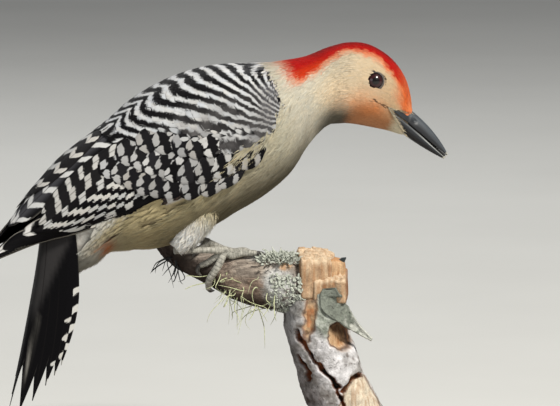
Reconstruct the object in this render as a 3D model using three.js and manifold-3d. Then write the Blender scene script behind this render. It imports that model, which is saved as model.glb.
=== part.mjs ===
// A still, life-size male red-bellied woodpecker leaning down from a broken branch,
// on a plain display stand. Millimetres, +Z up. The origin is the centre of the
// underside of the stand, +X runs towards the bird's head and the bird's right
// side faces -Y.
//
// The body is one loft through named stations, parted by thin cuts into head, neck
// and trunk. A second loft, the sheath, runs along the folded wings, and each wing
// is a thin shell on it. The feet are laid out round the branch that they grip.

import * as THREE from 'three';
import { mergeVertices } from 'three/addons/utils/BufferGeometryUtils.js';
import Module from 'manifold-3d';

const wasm = await Module();
wasm.setup();

// ---------------------------------------------------------------- driving sizes

const gap = 0.3; // clear space between neighbouring pieces
const midPlaneY = 17; // the head's own middle plane
const bodyYaw = 20; // degrees by which the trunk is turned away from the head's plane
const bodyRoll = 13; // degrees by which the back leans to the bird's right
const sectionEgg = 0.08; // how much wider a body section is above than below

// Body stations from the tail's root to the bill's root: centre, half depth, half
// width, pitch, yaw and roll in degrees.
const tailCovertTip = [[-67.8, -19.6, 91.4], 8.8, 4.6, 66, bodyYaw, bodyRoll];
const tailRoot = [[-63.8, -18.2, 96.8], 11.8, 8.4, 58, bodyYaw, bodyRoll];
const vent = [[-57.8, -16.0, 104.9], 12.8, 11.8, 39, bodyYaw, bodyRoll];
const rump = [[-50.1, -13.1, 112.6], 18.9, 15.6, 24, bodyYaw, bodyRoll];
const hip = [[-39.9, -9.4, 120.5], 27.8, 20.4, 22, bodyYaw, bodyRoll];
const belly = [[-26.1, -4.3, 127.5], 30.9, 23.8, 23.7, bodyYaw, bodyRoll];
const middle = [[-11.9, 0.9, 135.0], 30.7, 25.2, 24.7, bodyYaw, bodyRoll];
const breast = [[2.0, 6.0, 140.8], 28.9, 24.4, 24.3, bodyYaw, bodyRoll];
const shoulder = [[14.3, 10.5, 146.0], 24.8, 21.4, 22.9, bodyYaw, 11];
const mantle = [[24.4, 13.8, 151.7], 19.2, 17.2, 18.3, 17, 8];
const throat = [[33.1, 15.9, 155.7], 16.2, 14.0, 8.8, 10, 4];
const nape = [[40.3, 16.8, 159.5], 15.9, 13.0, 0.1, 4, 1];
const hindCrown = [[47.3, midPlaneY, 160.8], 16.7, 13.2, -5.6, 0, 0];
const crown = [[54.1, midPlaneY, 160.1], 16.6, 12.6, -12, 0, 0];
const brow = [[62.2, midPlaneY, 156.6], 14.7, 10.6, -16.5, 0, 0];
const lores = [[68.5, midPlaneY, 151.5], 11.1, 7.8, -20.4, 0, 0];
const billRoot = [[73.2, midPlaneY, 144.6], 6.0, 5.0, -19.7, 0, 0];

const bodyStations = [
  tailCovertTip, tailRoot, vent, rump, hip, belly, middle, breast,
  shoulder, mantle, throat, nape, hindCrown, crown, brow, lores, billRoot,
];
const neckStart = bodyStations.indexOf(mantle) + 0.25;
const headStart = bodyStations.indexOf(nape) - 0.1;
const cutAlongBody = 0.05; // the thin cuts between head, neck and trunk, in stations

// Sheath stations from the wing tips forward. From the hip on they are the body's.
const wingTip = [[-104.3, -32.7, 90.5], 0.6, 4.6, 30, bodyYaw, bodyRoll];
const wingBlade = [[-92.3, -28.4, 97.7], 3.6, 6.2, 30, bodyYaw, bodyRoll];
const bladeRoot = [[-81.1, -24.3, 105.5], 7.4, 8.8, 31, bodyYaw, bodyRoll];
const tertialEnd = [[-69.8, -20.2, 112.0], 12.6, 12.4, 31, bodyYaw, bodyRoll];
const rearSheath = [[-56.9, -15.5, 118.2], 18.2, 17.0, 29, bodyYaw, bodyRoll];
const sheathStations = [
  wingTip, wingBlade, bladeRoot, tertialEnd, rearSheath,
  hip, belly, middle, breast, shoulder, mantle, throat,
];
// Upper and lower edge of each folded wing at each sheath station, in degrees round
// the section from the middle of the back. The left wing's inner feathers cross the
// back and lie against the right wing's upper edge.
const wingUpperEdge = {
  right: [50, 22, 41, 29, 25, 25, 33, 36, 39, 43, 47, 47],
  left: [50, 22, 24, -13, -16, 4, 26, 36, 39, 43, 47, 47],
};
const wingLowerEdge = [70, 88, 113, 122, 112, 91, 97, 94, 80, 68, 65, 65];
const wristAt = 9.32; // where the folded wing begins, in sheath stations
const wristRound = 0.6;
const tipRound = 0.7;
const covertsEnd = 6.05; // the coverts reach back to here
const cutAlongWing = 0.06; // the thin cut behind the coverts, in stations
const tertialsEndAt = 2.05; // secondaries and tertials reach back to here
const primaryStrip = 15; // degrees of primaries that show under the secondaries
const wingThickness = [0.8, 1.0, 1.3, 1.7, 2.1, 2.4, 2.4, 2.4, 2.4, 2.4, 2.4, 2.4];

// Tail: the ridge of its roof, where each half slopes, and its feathers' tips.
const tailRidge = [[-75.5, -22.2, 102.2], [-77.6, -23.0, 76.0], [-87.4, -26.6, 36.2]];
const nearTailSlope = 58; // degrees from the bird's side direction to the near half
const farTailSlope = 12; // the same for the far half
const tailThickness = 1.1;
const bladeThickness = 0.95;
const tailHalfWidth = [15.0, 17.6, 17.3, 16.9, 16.2]; // at equal steps along the slab
const tailSlabEnd = 0.7;
const featherTips = [ // along the ridge, across from it, half width of the feather
  [1.06, 3.2, 3.0], [0.99, 7.4, 2.8], [0.90, 11.2, 2.7], [0.84, 13.8, 2.6], [0.78, 15.6, 2.2],
];

// Bill, in the head's middle plane (x, z): start, control and tip of each line.
const culmen = [[75.3, 148.8], [84.3, 141.6], [89.7, 131.3]];
const tomium = [[73.6, 144.1], [81.4, 137.35], [89.2, 130.5]];
const gonys = [[71.9, 139.1], [79.6, 133.4], [88.0, 129.3]];
const billRootHalfWidth = 4.3;
const billTipHalfWidth = 0.8;

const eyeRadius = 4.3;
const eyeCentre = { x: 59.9, side: 7.6, z: 163.4 };

// Perch: the arm that the bird grips, from the knob to its cut end behind the
// belly, and the stem that runs down to the stand. Each row is a centre and radius.
const armRows = [
  [[31.0, 0.0, 79.0], 12.0], [[18.5, 0.3, 80.3], 11.2], [[6.1, 1.0, 81.8], 9.8],
  [[-2.1, 4.0, 83.5], 7.5], [[-12.5, 9.0, 86.6], 6.2], [[-18.3, 13.2, 89.0], 6.0],
  [[-24.1, 19.0, 93.6], 6.0], [[-29.2, 24.6, 100.0], 5.8], [[-33.4, 29.0, 106.4], 5.6],
];
const stemRows = [
  [[40.0, 0.0, 92.4], 5.6], [[39.6, 0.0, 90.0], 8.4], [[38.8, 0.0, 84.0], 9.6],
  [[36.4, 0.0, 75.0], 11.4], [[35.0, 0.0, 65.5], 13.2], [[38.0, 0.0, 51.7], 12.6],
  [[42.5, 0.0, 39.8], 12.7], [[47.9, 0.0, 28.8], 12.7], [[52.6, 0.0, 18.0], 12.7],
];
const stemCutZ = 22;

const standLength = 150;
const standDepth = 100;
const standThickness = 12;
const standCorner = 14;
const standEdge = 1.5;
const rodRadius = 4;
const rodX = 50.2;
const rodTopZ = 36;

// Legs: the shank of each foot and the rows that lay each toe round the arm, as
// place along the arm (in rows), angle round it from the top towards the bird's
// right, and the toe's radius.
const toeLift = 0.35; // clear space between a toe and the bark
const rightLeg = {
  thigh: [[[-11.0, -6.0, 117.0], 7.0], [[-13.2, -8.0, 109.0], 8.0], [[-17.4, -9.9, 100.8], 5.2],
    [[-20.0, -10.7, 97.4], 3.6], [[-21.6, -11.0, 95.7], 2.3]],
  shank: [[[-22.6, -11.1, 95.1], 1.7], [[-19.5, -10.0, 94.9], 1.5], [[-11.0, -6.6, 94.4], 1.25],
    [[-4.4, -4.0, 94.1], 1.6], [[-1.8, -2.7, 93.9], 1.7]],
  toes: [
    [[2.6, 30, 1.4], [2.15, 22, 1.3], [1.72, 20, 1.1]],
    [[3.02, 66, 1.45], [3.2, 104, 1.4], [3.28, 138, 1.1]],
    [[3.4, 60, 1.3], [3.62, 76, 1.1]],
    [[2.72, 8, 1.35], [2.35, -8, 1.2], [2.12, -24, 1.0]],
  ],
  claws: [
    [[1.66, 20, 1.0], [1.5, 22, 0.9], [1.38, 26, 0.3]],
    [[3.29, 143, 1.0], [3.27, 158, 0.9], [3.2, 172, 0.3]],
    [[3.66, 79, 1.0], [3.68, 96, 0.9], [3.5, 112, 0.3]],
    [[2.08, -28, 0.9], [1.98, -42, 0.8], [1.96, -56, 0.3]],
  ],
};
const leftLeg = {
  thigh: [[[-11.0, 8.0, 118.0], 7.0], [[-13.0, 10.0, 110.0], 8.0], [[-16.6, 12.6, 103.0], 5.2],
    [[-18.8, 14.0, 100.2], 3.6], [[-20.2, 14.8, 98.8], 2.3]],
  shank: [[[-21.0, 15.4, 98.4], 1.7], [[-18.6, 14.2, 98.2], 1.5], [[-14.0, 11.6, 97.0], 1.25],
    [[-10.6, 9.2, 96.1], 1.6], [[-9.2, 8.2, 95.7], 1.7]],
  toes: [
    [[3.35, -22, 1.4], [3.05, -36, 1.3], [2.75, -46, 1.1]],
    [[3.8, -44, 1.45], [3.85, -76, 1.4], [3.9, -108, 1.1]],
    [[4.15, -26, 1.3], [4.35, -48, 1.1]],
    [[3.98, 8, 1.3], [4.0, 26, 1.1]],
  ],
  claws: [
    [[2.71, -48, 1.0], [2.58, -56, 0.9], [2.5, -64, 0.3]],
    [[3.9, -113, 1.0], [3.88, -130, 0.9], [3.84, -146, 0.3]],
    [[4.37, -53, 1.0], [4.4, -72, 0.9], [4.32, -90, 0.3]],
    [[4.0, 31, 1.0], [4.03, 46, 0.9], [4.1, 60, 0.3]],
  ],
};

// ---------------------------------------------------------------- plain helpers

const rad = THREE.MathUtils.degToRad;
const vec = (p) => new THREE.Vector3(p[0], p[1], p[2]);
const clamp = THREE.MathUtils.clamp;

// Smooth value at u in a list of equal-length rows of numbers (Catmull-Rom).
function smoothRow(rows, u) {
  const last = rows.length - 1;
  const place = clamp(u, 0, last);
  const i = Math.min(Math.floor(place), last - 1);
  const f = place - i;
  const at = (k) => rows[clamp(k, 0, last)];
  return rows[0].map((_, k) => {
    const [a, b, c, d] = [at(i - 1)[k], at(i)[k], at(i + 1)[k], at(i + 2)[k]];
    const slope = (c - a) * f;
    const bend = (2 * a - 5 * b + 4 * c - d) * f * f;
    return 0.5 * (2 * b + slope + bend + (3 * b - a - 3 * c + d) * f * f * f);
  });
}

const smoothValue = (list, u) => smoothRow(list.map((v) => [v]), u)[0];

// A point on Bezier's curve of three control points, each a list of numbers.
function bezier(points, v) {
  const [a, b, c] = points;
  return a.map((_, k) => (1 - v) ** 2 * a[k] + 2 * v * (1 - v) * b[k] + v * v * c[k]);
}

// Forward, right and up directions of a section with this pitch, yaw and roll.
function sectionAxes(pitch, yaw, roll) {
  const [p, w, r] = [rad(pitch), rad(yaw), rad(roll)];
  const level = new THREE.Vector3(Math.cos(w), Math.sin(w), 0);
  const forward = level.multiplyScalar(Math.cos(p)).add(new THREE.Vector3(0, 0, Math.sin(p)));
  const levelRight = new THREE.Vector3(Math.sin(w), -Math.cos(w), 0);
  const levelUp = levelRight.clone().cross(forward);
  const right = levelRight.clone().multiplyScalar(Math.cos(r)).addScaledVector(levelUp, -Math.sin(r));
  const up = levelUp.clone().multiplyScalar(Math.cos(r)).addScaledVector(levelRight, Math.sin(r));
  return { forward, right, up };
}

// Point on a station loft: u in stations, angle in degrees from the top towards the
// bird's right, grown outwards by `grow`.
function loftPoint(stations, u, angle, grow = 0) {
  const rows = stations.map((station) => station.flat());
  const [x, y, z, depth, width, pitch, yaw, roll] = smoothRow(rows, u);
  const { right, up } = sectionAxes(pitch, yaw, roll);
  const t = rad(angle);
  const side = (width + grow) * Math.sin(t) * (1 + sectionEgg * Math.cos(t));
  return new THREE.Vector3(x, y, z)
    .addScaledVector(up, (depth + grow) * Math.cos(t))
    .addScaledVector(right, side);
}

function geometryOf(points, triangles) {
  const geometry = new THREE.BufferGeometry();
  const numbers = points.flatMap((p) => p.toArray());
  geometry.setAttribute('position', new THREE.Float32BufferAttribute(numbers, 3));
  geometry.setIndex(triangles);
  return geometry;
}

// Closed solid from rings of points, each with the same number of points.
function ringSolid(rings) {
  const sides = rings[0].length;
  const points = rings.flat();
  const triangles = [];
  for (let i = 0; i + 1 < rings.length; i += 1) {
    for (let j = 0; j < sides; j += 1) {
      const a = i * sides + j;
      const b = i * sides + ((j + 1) % sides);
      triangles.push(a, a + sides, b, b, a + sides, b + sides);
    }
  }
  for (const [ring, flip] of [[0, false], [rings.length - 1, true]]) {
    const middleOfRing = rings[ring].reduce((s, p) => s.add(p), new THREE.Vector3()).divideScalar(sides);
    points.push(middleOfRing);
    for (let j = 0; j < sides; j += 1) {
      const a = ring * sides + j;
      const b = ring * sides + ((j + 1) % sides);
      triangles.push(...(flip ? [points.length - 1, b, a] : [points.length - 1, a, b]));
    }
  }
  return outward(geometryOf(points, triangles));
}

// Closed solid between two grids of points that share their rim's outline.
function shellSolid(outer, inner) {
  const [rows, columns] = [outer.length, outer[0].length];
  const points = [...outer.flat(), ...inner.flat()];
  const half = rows * columns;
  const triangles = [];
  const at = (i, j) => i * columns + j;
  for (let i = 0; i + 1 < rows; i += 1) {
    for (let j = 0; j + 1 < columns; j += 1) {
      const [a, b, c, d] = [at(i, j), at(i, j + 1), at(i + 1, j), at(i + 1, j + 1)];
      triangles.push(a, b, c, b, d, c);
      triangles.push(half + a, half + c, half + b, half + b, half + c, half + d);
    }
  }
  const wall = (a, b) => triangles.push(a, half + a, b, b, half + a, half + b);
  for (let j = 0; j + 1 < columns; j += 1) {
    wall(at(0, j), at(0, j + 1));
    wall(at(rows - 1, j + 1), at(rows - 1, j));
  }
  for (let i = 0; i + 1 < rows; i += 1) {
    wall(at(i + 1, 0), at(i, 0));
    wall(at(i, columns - 1), at(i + 1, columns - 1));
  }
  return outward(geometryOf(points, triangles));
}

// Turns every face over when the solid's signed volume is negative.
function outward(geometry) {
  const position = geometry.getAttribute('position');
  const index = Array.from(geometry.getIndex().array);
  const [a, b, c] = [new THREE.Vector3(), new THREE.Vector3(), new THREE.Vector3()];
  let volume = 0;
  for (let k = 0; k < index.length; k += 3) {
    a.fromBufferAttribute(position, index[k]);
    b.fromBufferAttribute(position, index[k + 1]);
    c.fromBufferAttribute(position, index[k + 2]);
    volume += a.dot(b.clone().cross(c));
  }
  if (volume < 0) {
    for (let k = 0; k < index.length; k += 3) {
      [index[k + 1], index[k + 2]] = [index[k + 2], index[k + 1]];
    }
    geometry.setIndex(index);
  }
  return geometry;
}

// Solid for joins and cuts from a closed geometry.
function solidOf(geometry) {
  const bare = geometry.clone();
  bare.deleteAttribute('normal');
  bare.deleteAttribute('uv');
  const merged = mergeVertices(bare, 1e-4);
  return new wasm.Manifold(new wasm.Mesh({
    numProp: 3,
    vertProperties: new Float32Array(merged.getAttribute('position').array),
    triVerts: new Uint32Array(merged.getIndex().array),
  }));
}

function geometryFrom(solid) {
  const mesh = solid.getMesh();
  const geometry = new THREE.BufferGeometry();
  const positions = new Float32Array(mesh.numVert * 3);
  for (let i = 0; i < mesh.numVert; i += 1) {
    for (let k = 0; k < 3; k += 1) positions[3 * i + k] = mesh.vertProperties[mesh.numProp * i + k];
  }
  geometry.setAttribute('position', new THREE.BufferAttribute(positions, 3));
  geometry.setIndex(Array.from(mesh.triVerts));
  geometry.computeVertexNormals();
  return geometry;
}

// The largest piece of a cut solid, without the crumbs that a cut can leave.
function mainPiece(solid) {
  const pieces = solid.decompose();
  pieces.sort((a, b) => b.volume() - a.volume());
  return pieces[0];
}

// Round-section solid through rows of [centre, radius], grown by `grow`. `relief`
// gives a factor on the radius at (distance along in rows, angle in radians).
function limb(rows, { grow = 0, sides = 10, stepsPerRow = 3, relief = () => 1 } = {}) {
  const table = rows.map(([centre, radius]) => [...centre, radius]);
  const steps = (rows.length - 1) * stepsPerRow;
  const rings = [];
  let upwards = null; // carried from ring to ring, so that the section never spins
  for (let i = 0; i <= steps; i += 1) {
    const u = i / stepsPerRow;
    const [x, y, z, radius] = smoothRow(table, u);
    const ahead = smoothRow(table, Math.min(u + 0.05, rows.length - 1));
    const behind = smoothRow(table, Math.max(u - 0.05, 0));
    const forward = vec(ahead).sub(vec(behind)).normalize();
    upwards = upwards ?? limbAxes(forward).upwards;
    upwards = upwards.clone().addScaledVector(forward, -upwards.dot(forward)).normalize();
    const sideways = upwards.clone().cross(forward);
    const ring = [];
    for (let j = 0; j < sides; j += 1) {
      const angle = (2 * Math.PI * j) / sides;
      const reach = radius * relief(u, angle) + grow;
      ring.push(new THREE.Vector3(x, y, z)
        .addScaledVector(upwards, reach * Math.cos(angle))
        .addScaledVector(sideways, reach * Math.sin(angle)));
    }
    rings.push(ring);
  }
  return ringSolid(rings);
}

// Across a limb: `sideways` is level and towards the bird's right, `upwards` is
// square to it. A limb that runs nearly upright takes +X in place of up.
function limbAxes(forward) {
  const reference = Math.abs(forward.z) > 0.94 ? new THREE.Vector3(1, 0, 0) : new THREE.Vector3(0, 0, 1);
  const sideways = reference.clone().cross(forward).normalize();
  if (sideways.y > 0) sideways.negate();
  const upwards = forward.clone().cross(sideways).normalize();
  if (upwards.dot(reference) < 0) upwards.negate();
  return { sideways, upwards };
}

// ---------------------------------------------------------------- perch and stand

// Factor on the plain radius at a place along the wood and an angle round it.
const barkOnArm = (u, angle) => 1
  + 0.035 * Math.sin(3 * angle + 1.7 * u)
  + 0.025 * Math.sin(5 * angle - 2.9 * u);
const barkOnStem = (u, angle) => 1
  + 0.04 * Math.sin(2 * angle + 1.1 * u)
  + 0.03 * Math.sin(5 * angle - 2.3 * u)
  + (u < 1.5 ? 0.16 * Math.sin(4 * angle + 0.8) : 0);
const armRelief = 1.06; // the bark's highest rise over the arm's plain radius

function perchStem(grow = 0) {
  const stem = solidOf(limb(stemRows, { grow, sides: 14, stepsPerRow: 2, relief: barkOnStem }));
  const below = new THREE.BoxGeometry(80, 80, 2 * stemCutZ);
  below.translate(stemRows.at(-1)[0][0], 0, 0);
  return stem.subtract(solidOf(below));
}

function standRod(grow = 0) {
  const bottomZ = standThickness + gap - grow;
  const height = rodTopZ + grow - bottomZ;
  const rod = new THREE.CylinderGeometry(rodRadius + grow, rodRadius + grow, height, 20);
  rod.rotateX(Math.PI / 2);
  rod.translate(rodX, 0, bottomZ + height / 2);
  return rod;
}

function standBase() {
  const [halfLength, halfDepth] = [standLength / 2 - standEdge, standDepth / 2 - standEdge];
  const corner = standCorner - standEdge;
  const outline = new THREE.Shape();
  outline.moveTo(-halfLength + corner, -halfDepth);
  outline.lineTo(halfLength - corner, -halfDepth);
  outline.absarc(halfLength - corner, -halfDepth + corner, corner, -Math.PI / 2, 0);
  outline.lineTo(halfLength, halfDepth - corner);
  outline.absarc(halfLength - corner, halfDepth - corner, corner, 0, Math.PI / 2);
  outline.lineTo(-halfLength + corner, halfDepth);
  outline.absarc(-halfLength + corner, halfDepth - corner, corner, Math.PI / 2, Math.PI);
  outline.lineTo(-halfLength, -halfDepth + corner);
  outline.absarc(-halfLength + corner, -halfDepth + corner, corner, Math.PI, 1.5 * Math.PI);
  const plate = new THREE.ExtrudeGeometry(outline, {
    depth: standThickness - 2 * standEdge,
    bevelThickness: standEdge,
    bevelSize: standEdge,
    bevelSegments: 1,
    curveSegments: 4,
  });
  plate.translate(0, 0, standEdge);
  return plate;
}

// ---------------------------------------------------------------- body

function bodyLength(from, to, { grow = 0, rings = 8, sides = 22 } = {}) {
  const list = [];
  for (let i = 0; i <= rings; i += 1) {
    const u = from + ((to - from) * i) / rings;
    const ring = [];
    for (let j = 0; j < sides; j += 1) ring.push(loftPoint(bodyStations, u, (360 * j) / sides, grow));
    list.push(ring);
  }
  return ringSolid(list);
}

// Half of the wing's height closes like a half circle towards the wrist and the tip.
function wingRoundness(u) {
  const towardWrist = clamp((u - (wristAt - wristRound)) / wristRound, 0, 1);
  const towardTip = clamp((tipRound - u) / tipRound, 0, 1);
  return Math.max(0.12, Math.sqrt(1 - Math.max(towardWrist, towardTip) ** 2));
}

function wingEdges(side, u) {
  const upper = smoothValue(side > 0 ? wingUpperEdge.right : wingUpperEdge.left, u);
  const lower = smoothValue(wingLowerEdge, u);
  const centre = (upper + lower) / 2;
  const half = ((lower - upper) / 2) * wingRoundness(u);
  return { upper: centre - half, lower: centre + half };
}

// The line between secondaries above and primaries below.
const primaryLine = (side, u) => wingEdges(side, u).lower - primaryStrip * clamp((u - 1.2) / 1.6, 0.2, 1);

// A shell on the sheath between two edge functions. `side` is 1 for the right wing.
// `inner` is the share of its thickness below the sheath, and `extra` is how far a
// room for it reaches past its outer face.
function wingShell(side, from, to, upperEdge, lowerEdge, form) {
  const { steps, columns, inner = 0.5, extra = 0 } = form;
  const outerGrid = [];
  const innerGrid = [];
  const nudge = 0.02;
  for (let i = 0; i <= steps; i += 1) {
    const u = from + ((to - from) * i) / steps;
    const thickness = smoothValue(wingThickness, u);
    const upper = upperEdge(u);
    const lower = lowerEdge(u);
    const rowOut = [];
    const rowIn = [];
    for (let j = 0; j <= columns; j += 1) {
      const angle = upper + ((lower - upper) * j) / columns;
      const here = loftPoint(sheathStations, u, side * angle);
      const along = loftPoint(sheathStations, u + nudge, side * angle)
        .sub(loftPoint(sheathStations, u - nudge, side * angle));
      const around = loftPoint(sheathStations, u, side * (angle + 2))
        .sub(loftPoint(sheathStations, u, side * (angle - 2)));
      const normal = around.cross(along).normalize().multiplyScalar(side);
      rowOut.push(here.clone().addScaledVector(normal, thickness * 0.5 + extra));
      rowIn.push(here.clone().addScaledVector(normal, -thickness * inner - (extra > 0 ? gap : 0)));
    }
    outerGrid.push(rowOut);
    innerGrid.push(rowIn);
  }
  return shellSolid(outerGrid, innerGrid);
}

// Degrees that a clear gap takes up round the sheath at u.
function gapAngle(u, width = gap) {
  const rows = sheathStations.map((s) => [Math.min(s[1], s[2])]);
  return THREE.MathUtils.radToDeg(width / Math.max(3, smoothRow(rows, u)[0]));
}

function wingPieces(side) {
  const top = (u) => wingEdges(side, u).upper;
  const bottom = (u) => wingEdges(side, u).lower;
  const covertsForm = { steps: 9, columns: 6 };
  const coverts = wingShell(side, covertsEnd + cutAlongWing, wristAt, top, bottom, covertsForm);
  const tertialRound = (u) => clamp((u - tertialsEndAt) / 0.8, 0, 1) ** 0.5;
  const secondaryLower = (u) => {
    const line = primaryLine(side, u) - gapAngle(u, 1.2 * gap);
    return top(u) + (line - top(u)) * Math.max(0.1, tertialRound(u));
  };
  const secondariesForm = { steps: 10, columns: 5 };
  const secondaries = wingShell(side, tertialsEndAt, covertsEnd, top, secondaryLower, secondariesForm);
  const primaryUpper = (u) => {
    const underSecondaries = clamp((u - tertialsEndAt + 0.22) / 0.16, 0, 1);
    return top(u) + (primaryLine(side, u) - top(u)) * underSecondaries;
  };
  const whole = wingShell(side, 0, covertsEnd, primaryUpper, bottom, { steps: 14, columns: 3 });
  const secondaryRoom = wingShell(
    side,
    tertialsEndAt - 0.04,
    covertsEnd,
    (u) => top(u) - 3,
    (u) => secondaryLower(u) + gapAngle(u, 1.2 * gap),
    { steps: 10, columns: 4, inner: 1.5, extra: 2 },
  );
  const primaries = mainPiece(solidOf(whole).subtract(solidOf(secondaryRoom)));
  return { coverts, secondaries, primaries: geometryFrom(primaries) };
}

// The room that a wing takes out of its neighbours, in two lengths that overlap.
function wingRoom(side, outside) {
  const upper = (u) => wingEdges(side, u).upper - gapAngle(u, 2 * gap);
  const lower = (u) => wingEdges(side, u).lower + gapAngle(u, 2 * gap);
  const front = wingShell(side, covertsEnd - 0.1, wristAt + 0.04, upper, lower,
    { steps: 9, columns: 5, extra: outside, inner: 0.6 });
  const rear = wingShell(side, 0, covertsEnd + 0.1, upper, lower,
    { steps: 10, columns: 3, extra: outside, inner: 0.6 });
  return solidOf(front).add(solidOf(rear));
}

// ---------------------------------------------------------------- tail

// Point of the tail: v along the ridge, q across from it, h out of the surface.
// `half` is 1 for the near half and -1 for the far half.
function tailPoint(half, v, q, h) {
  const ridge = vec(bezier(tailRidge, v));
  const [before, after] = [vec(bezier(tailRidge, v - 0.01)), vec(bezier(tailRidge, v + 0.01))];
  const forward = before.sub(after).normalize();
  const right = sectionAxes(0, bodyYaw, 0).right;
  const up = right.clone().cross(forward);
  const slope = rad(half > 0 ? nearTailSlope : farTailSlope);
  const sideways = right.clone().multiplyScalar(half);
  const across = sideways.clone().multiplyScalar(Math.cos(slope)).addScaledVector(up, -Math.sin(slope));
  const outwards = up.clone().multiplyScalar(Math.cos(slope)).addScaledVector(sideways, Math.sin(slope));
  return ridge.addScaledVector(across, q).addScaledVector(outwards, h);
}

function tailSlab(half) {
  const outer = [];
  const inner = [];
  const steps = 5;
  const columns = 2;
  for (let i = 0; i <= steps; i += 1) {
    const v = -0.16 + ((tailSlabEnd + 0.16) * i) / steps;
    const width = smoothValue(tailHalfWidth, (4 * i) / steps);
    outer.push([]);
    inner.push([]);
    for (let j = 0; j <= columns; j += 1) {
      const q = -0.6 + ((width + 0.6) * j) / columns;
      outer[i].push(tailPoint(half, v, q, 0));
      inner[i].push(tailPoint(half, v, q, -tailThickness));
    }
  }
  return shellSolid(outer, inner);
}

// One pointed feather from the slab's middle out to its tip.
function tailBlade(half, [tipV, tipQ, halfWidth], number) {
  const outer = [];
  const inner = [];
  const steps = 3;
  const startV = 0.6;
  const startQ = 2 + 2.9 * number;
  const drop = -0.12 * number;
  for (let i = 0; i <= steps; i += 1) {
    const f = i / steps;
    const v = startV + (tipV - startV) * f;
    const centre = startQ + (tipQ - startQ) * f;
    const reach = halfWidth * Math.max(0.12, Math.sqrt(1 - Math.max(0, (f - 0.62) / 0.4) ** 1.6));
    const across = [-1, 0, 1].map((s) => centre + s * reach);
    outer.push(across.map((q, k) => tailPoint(half, v, q, drop - (k === 1 ? 0.1 : 0.25))));
    inner.push(across.map((q) => tailPoint(half, v, q, drop - bladeThickness)));
  }
  return shellSolid(outer, inner);
}

function tailSolid() {
  let tail = solidOf(tailSlab(1)).add(solidOf(tailSlab(-1)));
  for (const half of [1, -1]) {
    featherTips.forEach((tip, number) => {
      tail = tail.add(solidOf(tailBlade(half, tip, number)));
    });
  }
  return tail;
}

// ---------------------------------------------------------------- bill, eyes, legs

// Mandible between an outer line and the tomium; `profile` is a list of
// [share of the way from the outer line to the tomium, share of the half width].
function mandible(outerLine, edgeLine, profile, edgeDrop) {
  const rings = [];
  const steps = 7;
  for (let i = 0; i <= steps; i += 1) {
    const v = i / steps;
    const [ox, oz] = bezier(outerLine, v);
    const [ex, ez] = bezier(edgeLine, v);
    const halfWidth = billTipHalfWidth + (billRootHalfWidth - billTipHalfWidth) * (1 - v) ** 0.85;
    const half = profile.map(([share, width]) => new THREE.Vector3(
      ox + (ex - ox) * share + edgeDrop * share * 0.6,
      midPlaneY - width * halfWidth,
      oz + (ez - oz) * share + edgeDrop * share * 0.8,
    ));
    const otherSide = (p) => new THREE.Vector3(p.x, 2 * midPlaneY - p.y, p.z);
    rings.push([...half, ...half.slice(1, -1).reverse().map(otherSide)]);
  }
  return ringSolid(rings);
}

function eyeBall(side, grow = 0) {
  const ball = new THREE.SphereGeometry(eyeRadius + grow, 12, 8);
  ball.rotateX(Math.PI / 2);
  ball.translate(eyeCentre.x, midPlaneY - side * eyeCentre.side, eyeCentre.z);
  return ball;
}

// Rows of [place on the arm, angle, radius] turned into rows of [centre, radius].
function roundTheArm(rows) {
  const table = armRows.map(([centre, radius]) => [...centre, radius]);
  return rows.map(([place, angle, radius]) => {
    const [x, y, z, armRadius] = smoothRow(table, place);
    const [ahead, behind] = [smoothRow(table, place + 0.05), smoothRow(table, place - 0.05)];
    const forward = vec(ahead).sub(vec(behind)).normalize();
    const { sideways, upwards } = limbAxes(forward);
    const reach = armRadius * armRelief + radius + toeLift;
    const centre = new THREE.Vector3(x, y, z)
      .addScaledVector(upwards, reach * Math.cos(rad(angle)))
      .addScaledVector(sideways, reach * Math.sin(rad(angle)));
    return [centre.toArray(), radius];
  });
}

function footSolid(leg, grow = 0) {
  let foot = solidOf(limb(leg.shank, { grow, sides: 8, stepsPerRow: 2 }));
  const ankle = new THREE.SphereGeometry(2.1 + grow, 8, 6);
  ankle.translate(...leg.shank.at(-1)[0]);
  foot = foot.add(solidOf(ankle));
  for (const toe of leg.toes) {
    const rows = [[leg.shank.at(-1)[0], 1.4], ...roundTheArm(toe)];
    foot = foot.add(solidOf(limb(rows, { grow, sides: 6, stepsPerRow: 2 })));
  }
  return mainPiece(foot);
}

function clawGeometry(leg, number) {
  return limb(roundTheArm(leg.claws[number]), { sides: 6, stepsPerRow: 2 });
}

// ---------------------------------------------------------------- colours

const finish = (color, roughness, metalness = 0) => ({ color, roughness, metalness });
const barredPlumage = finish(0x3a3937, 0.75);
const blackPlumage = finish(0x17161a, 0.6);
const paleChest = finish(0xb3a284, 0.9);
const redCap = finish(0xa83a20, 0.85);
const hornBill = finish(0x34353a, 0.4);
const darkEye = finish(0x1a0606, 0.08);
const scalyLeg = finish(0x75746c, 0.65);
const clawHorn = finish(0x4a4642, 0.45);
const whitePlumage = finish(0xbdb6ad, 0.95);
const lichenBark = finish(0x8f8a7c, 0.95);
const standWood = finish(0x5a3d28, 0.5);
const rodMetal = finish(0xb0b0ac, 0.35, 0.9);

const group = new THREE.Group();

function addPart(name, geometry, material) {
  const mesh = new THREE.Mesh(geometry, new THREE.MeshStandardMaterial(material));
  mesh.name = name;
  group.add(mesh);
}

// ---------------------------------------------------------------- assembly

const lastStation = bodyStations.length - 1;
const wholeTrunk = solidOf(bodyLength(0, neckStart - cutAlongBody, { rings: 16, sides: 22 }));
const trunk = mainPiece(wholeTrunk.subtract(wingRoom(1, 5)).subtract(wingRoom(-1, 5)));
const grownTrunk = solidOf(bodyLength(0, neckStart, { grow: gap, rings: 16, sides: 22 }));

let head = solidOf(bodyLength(headStart, lastStation, { rings: 10, sides: 22 }));
for (const side of [1, -1]) head = head.subtract(solidOf(eyeBall(side, gap)));

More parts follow.
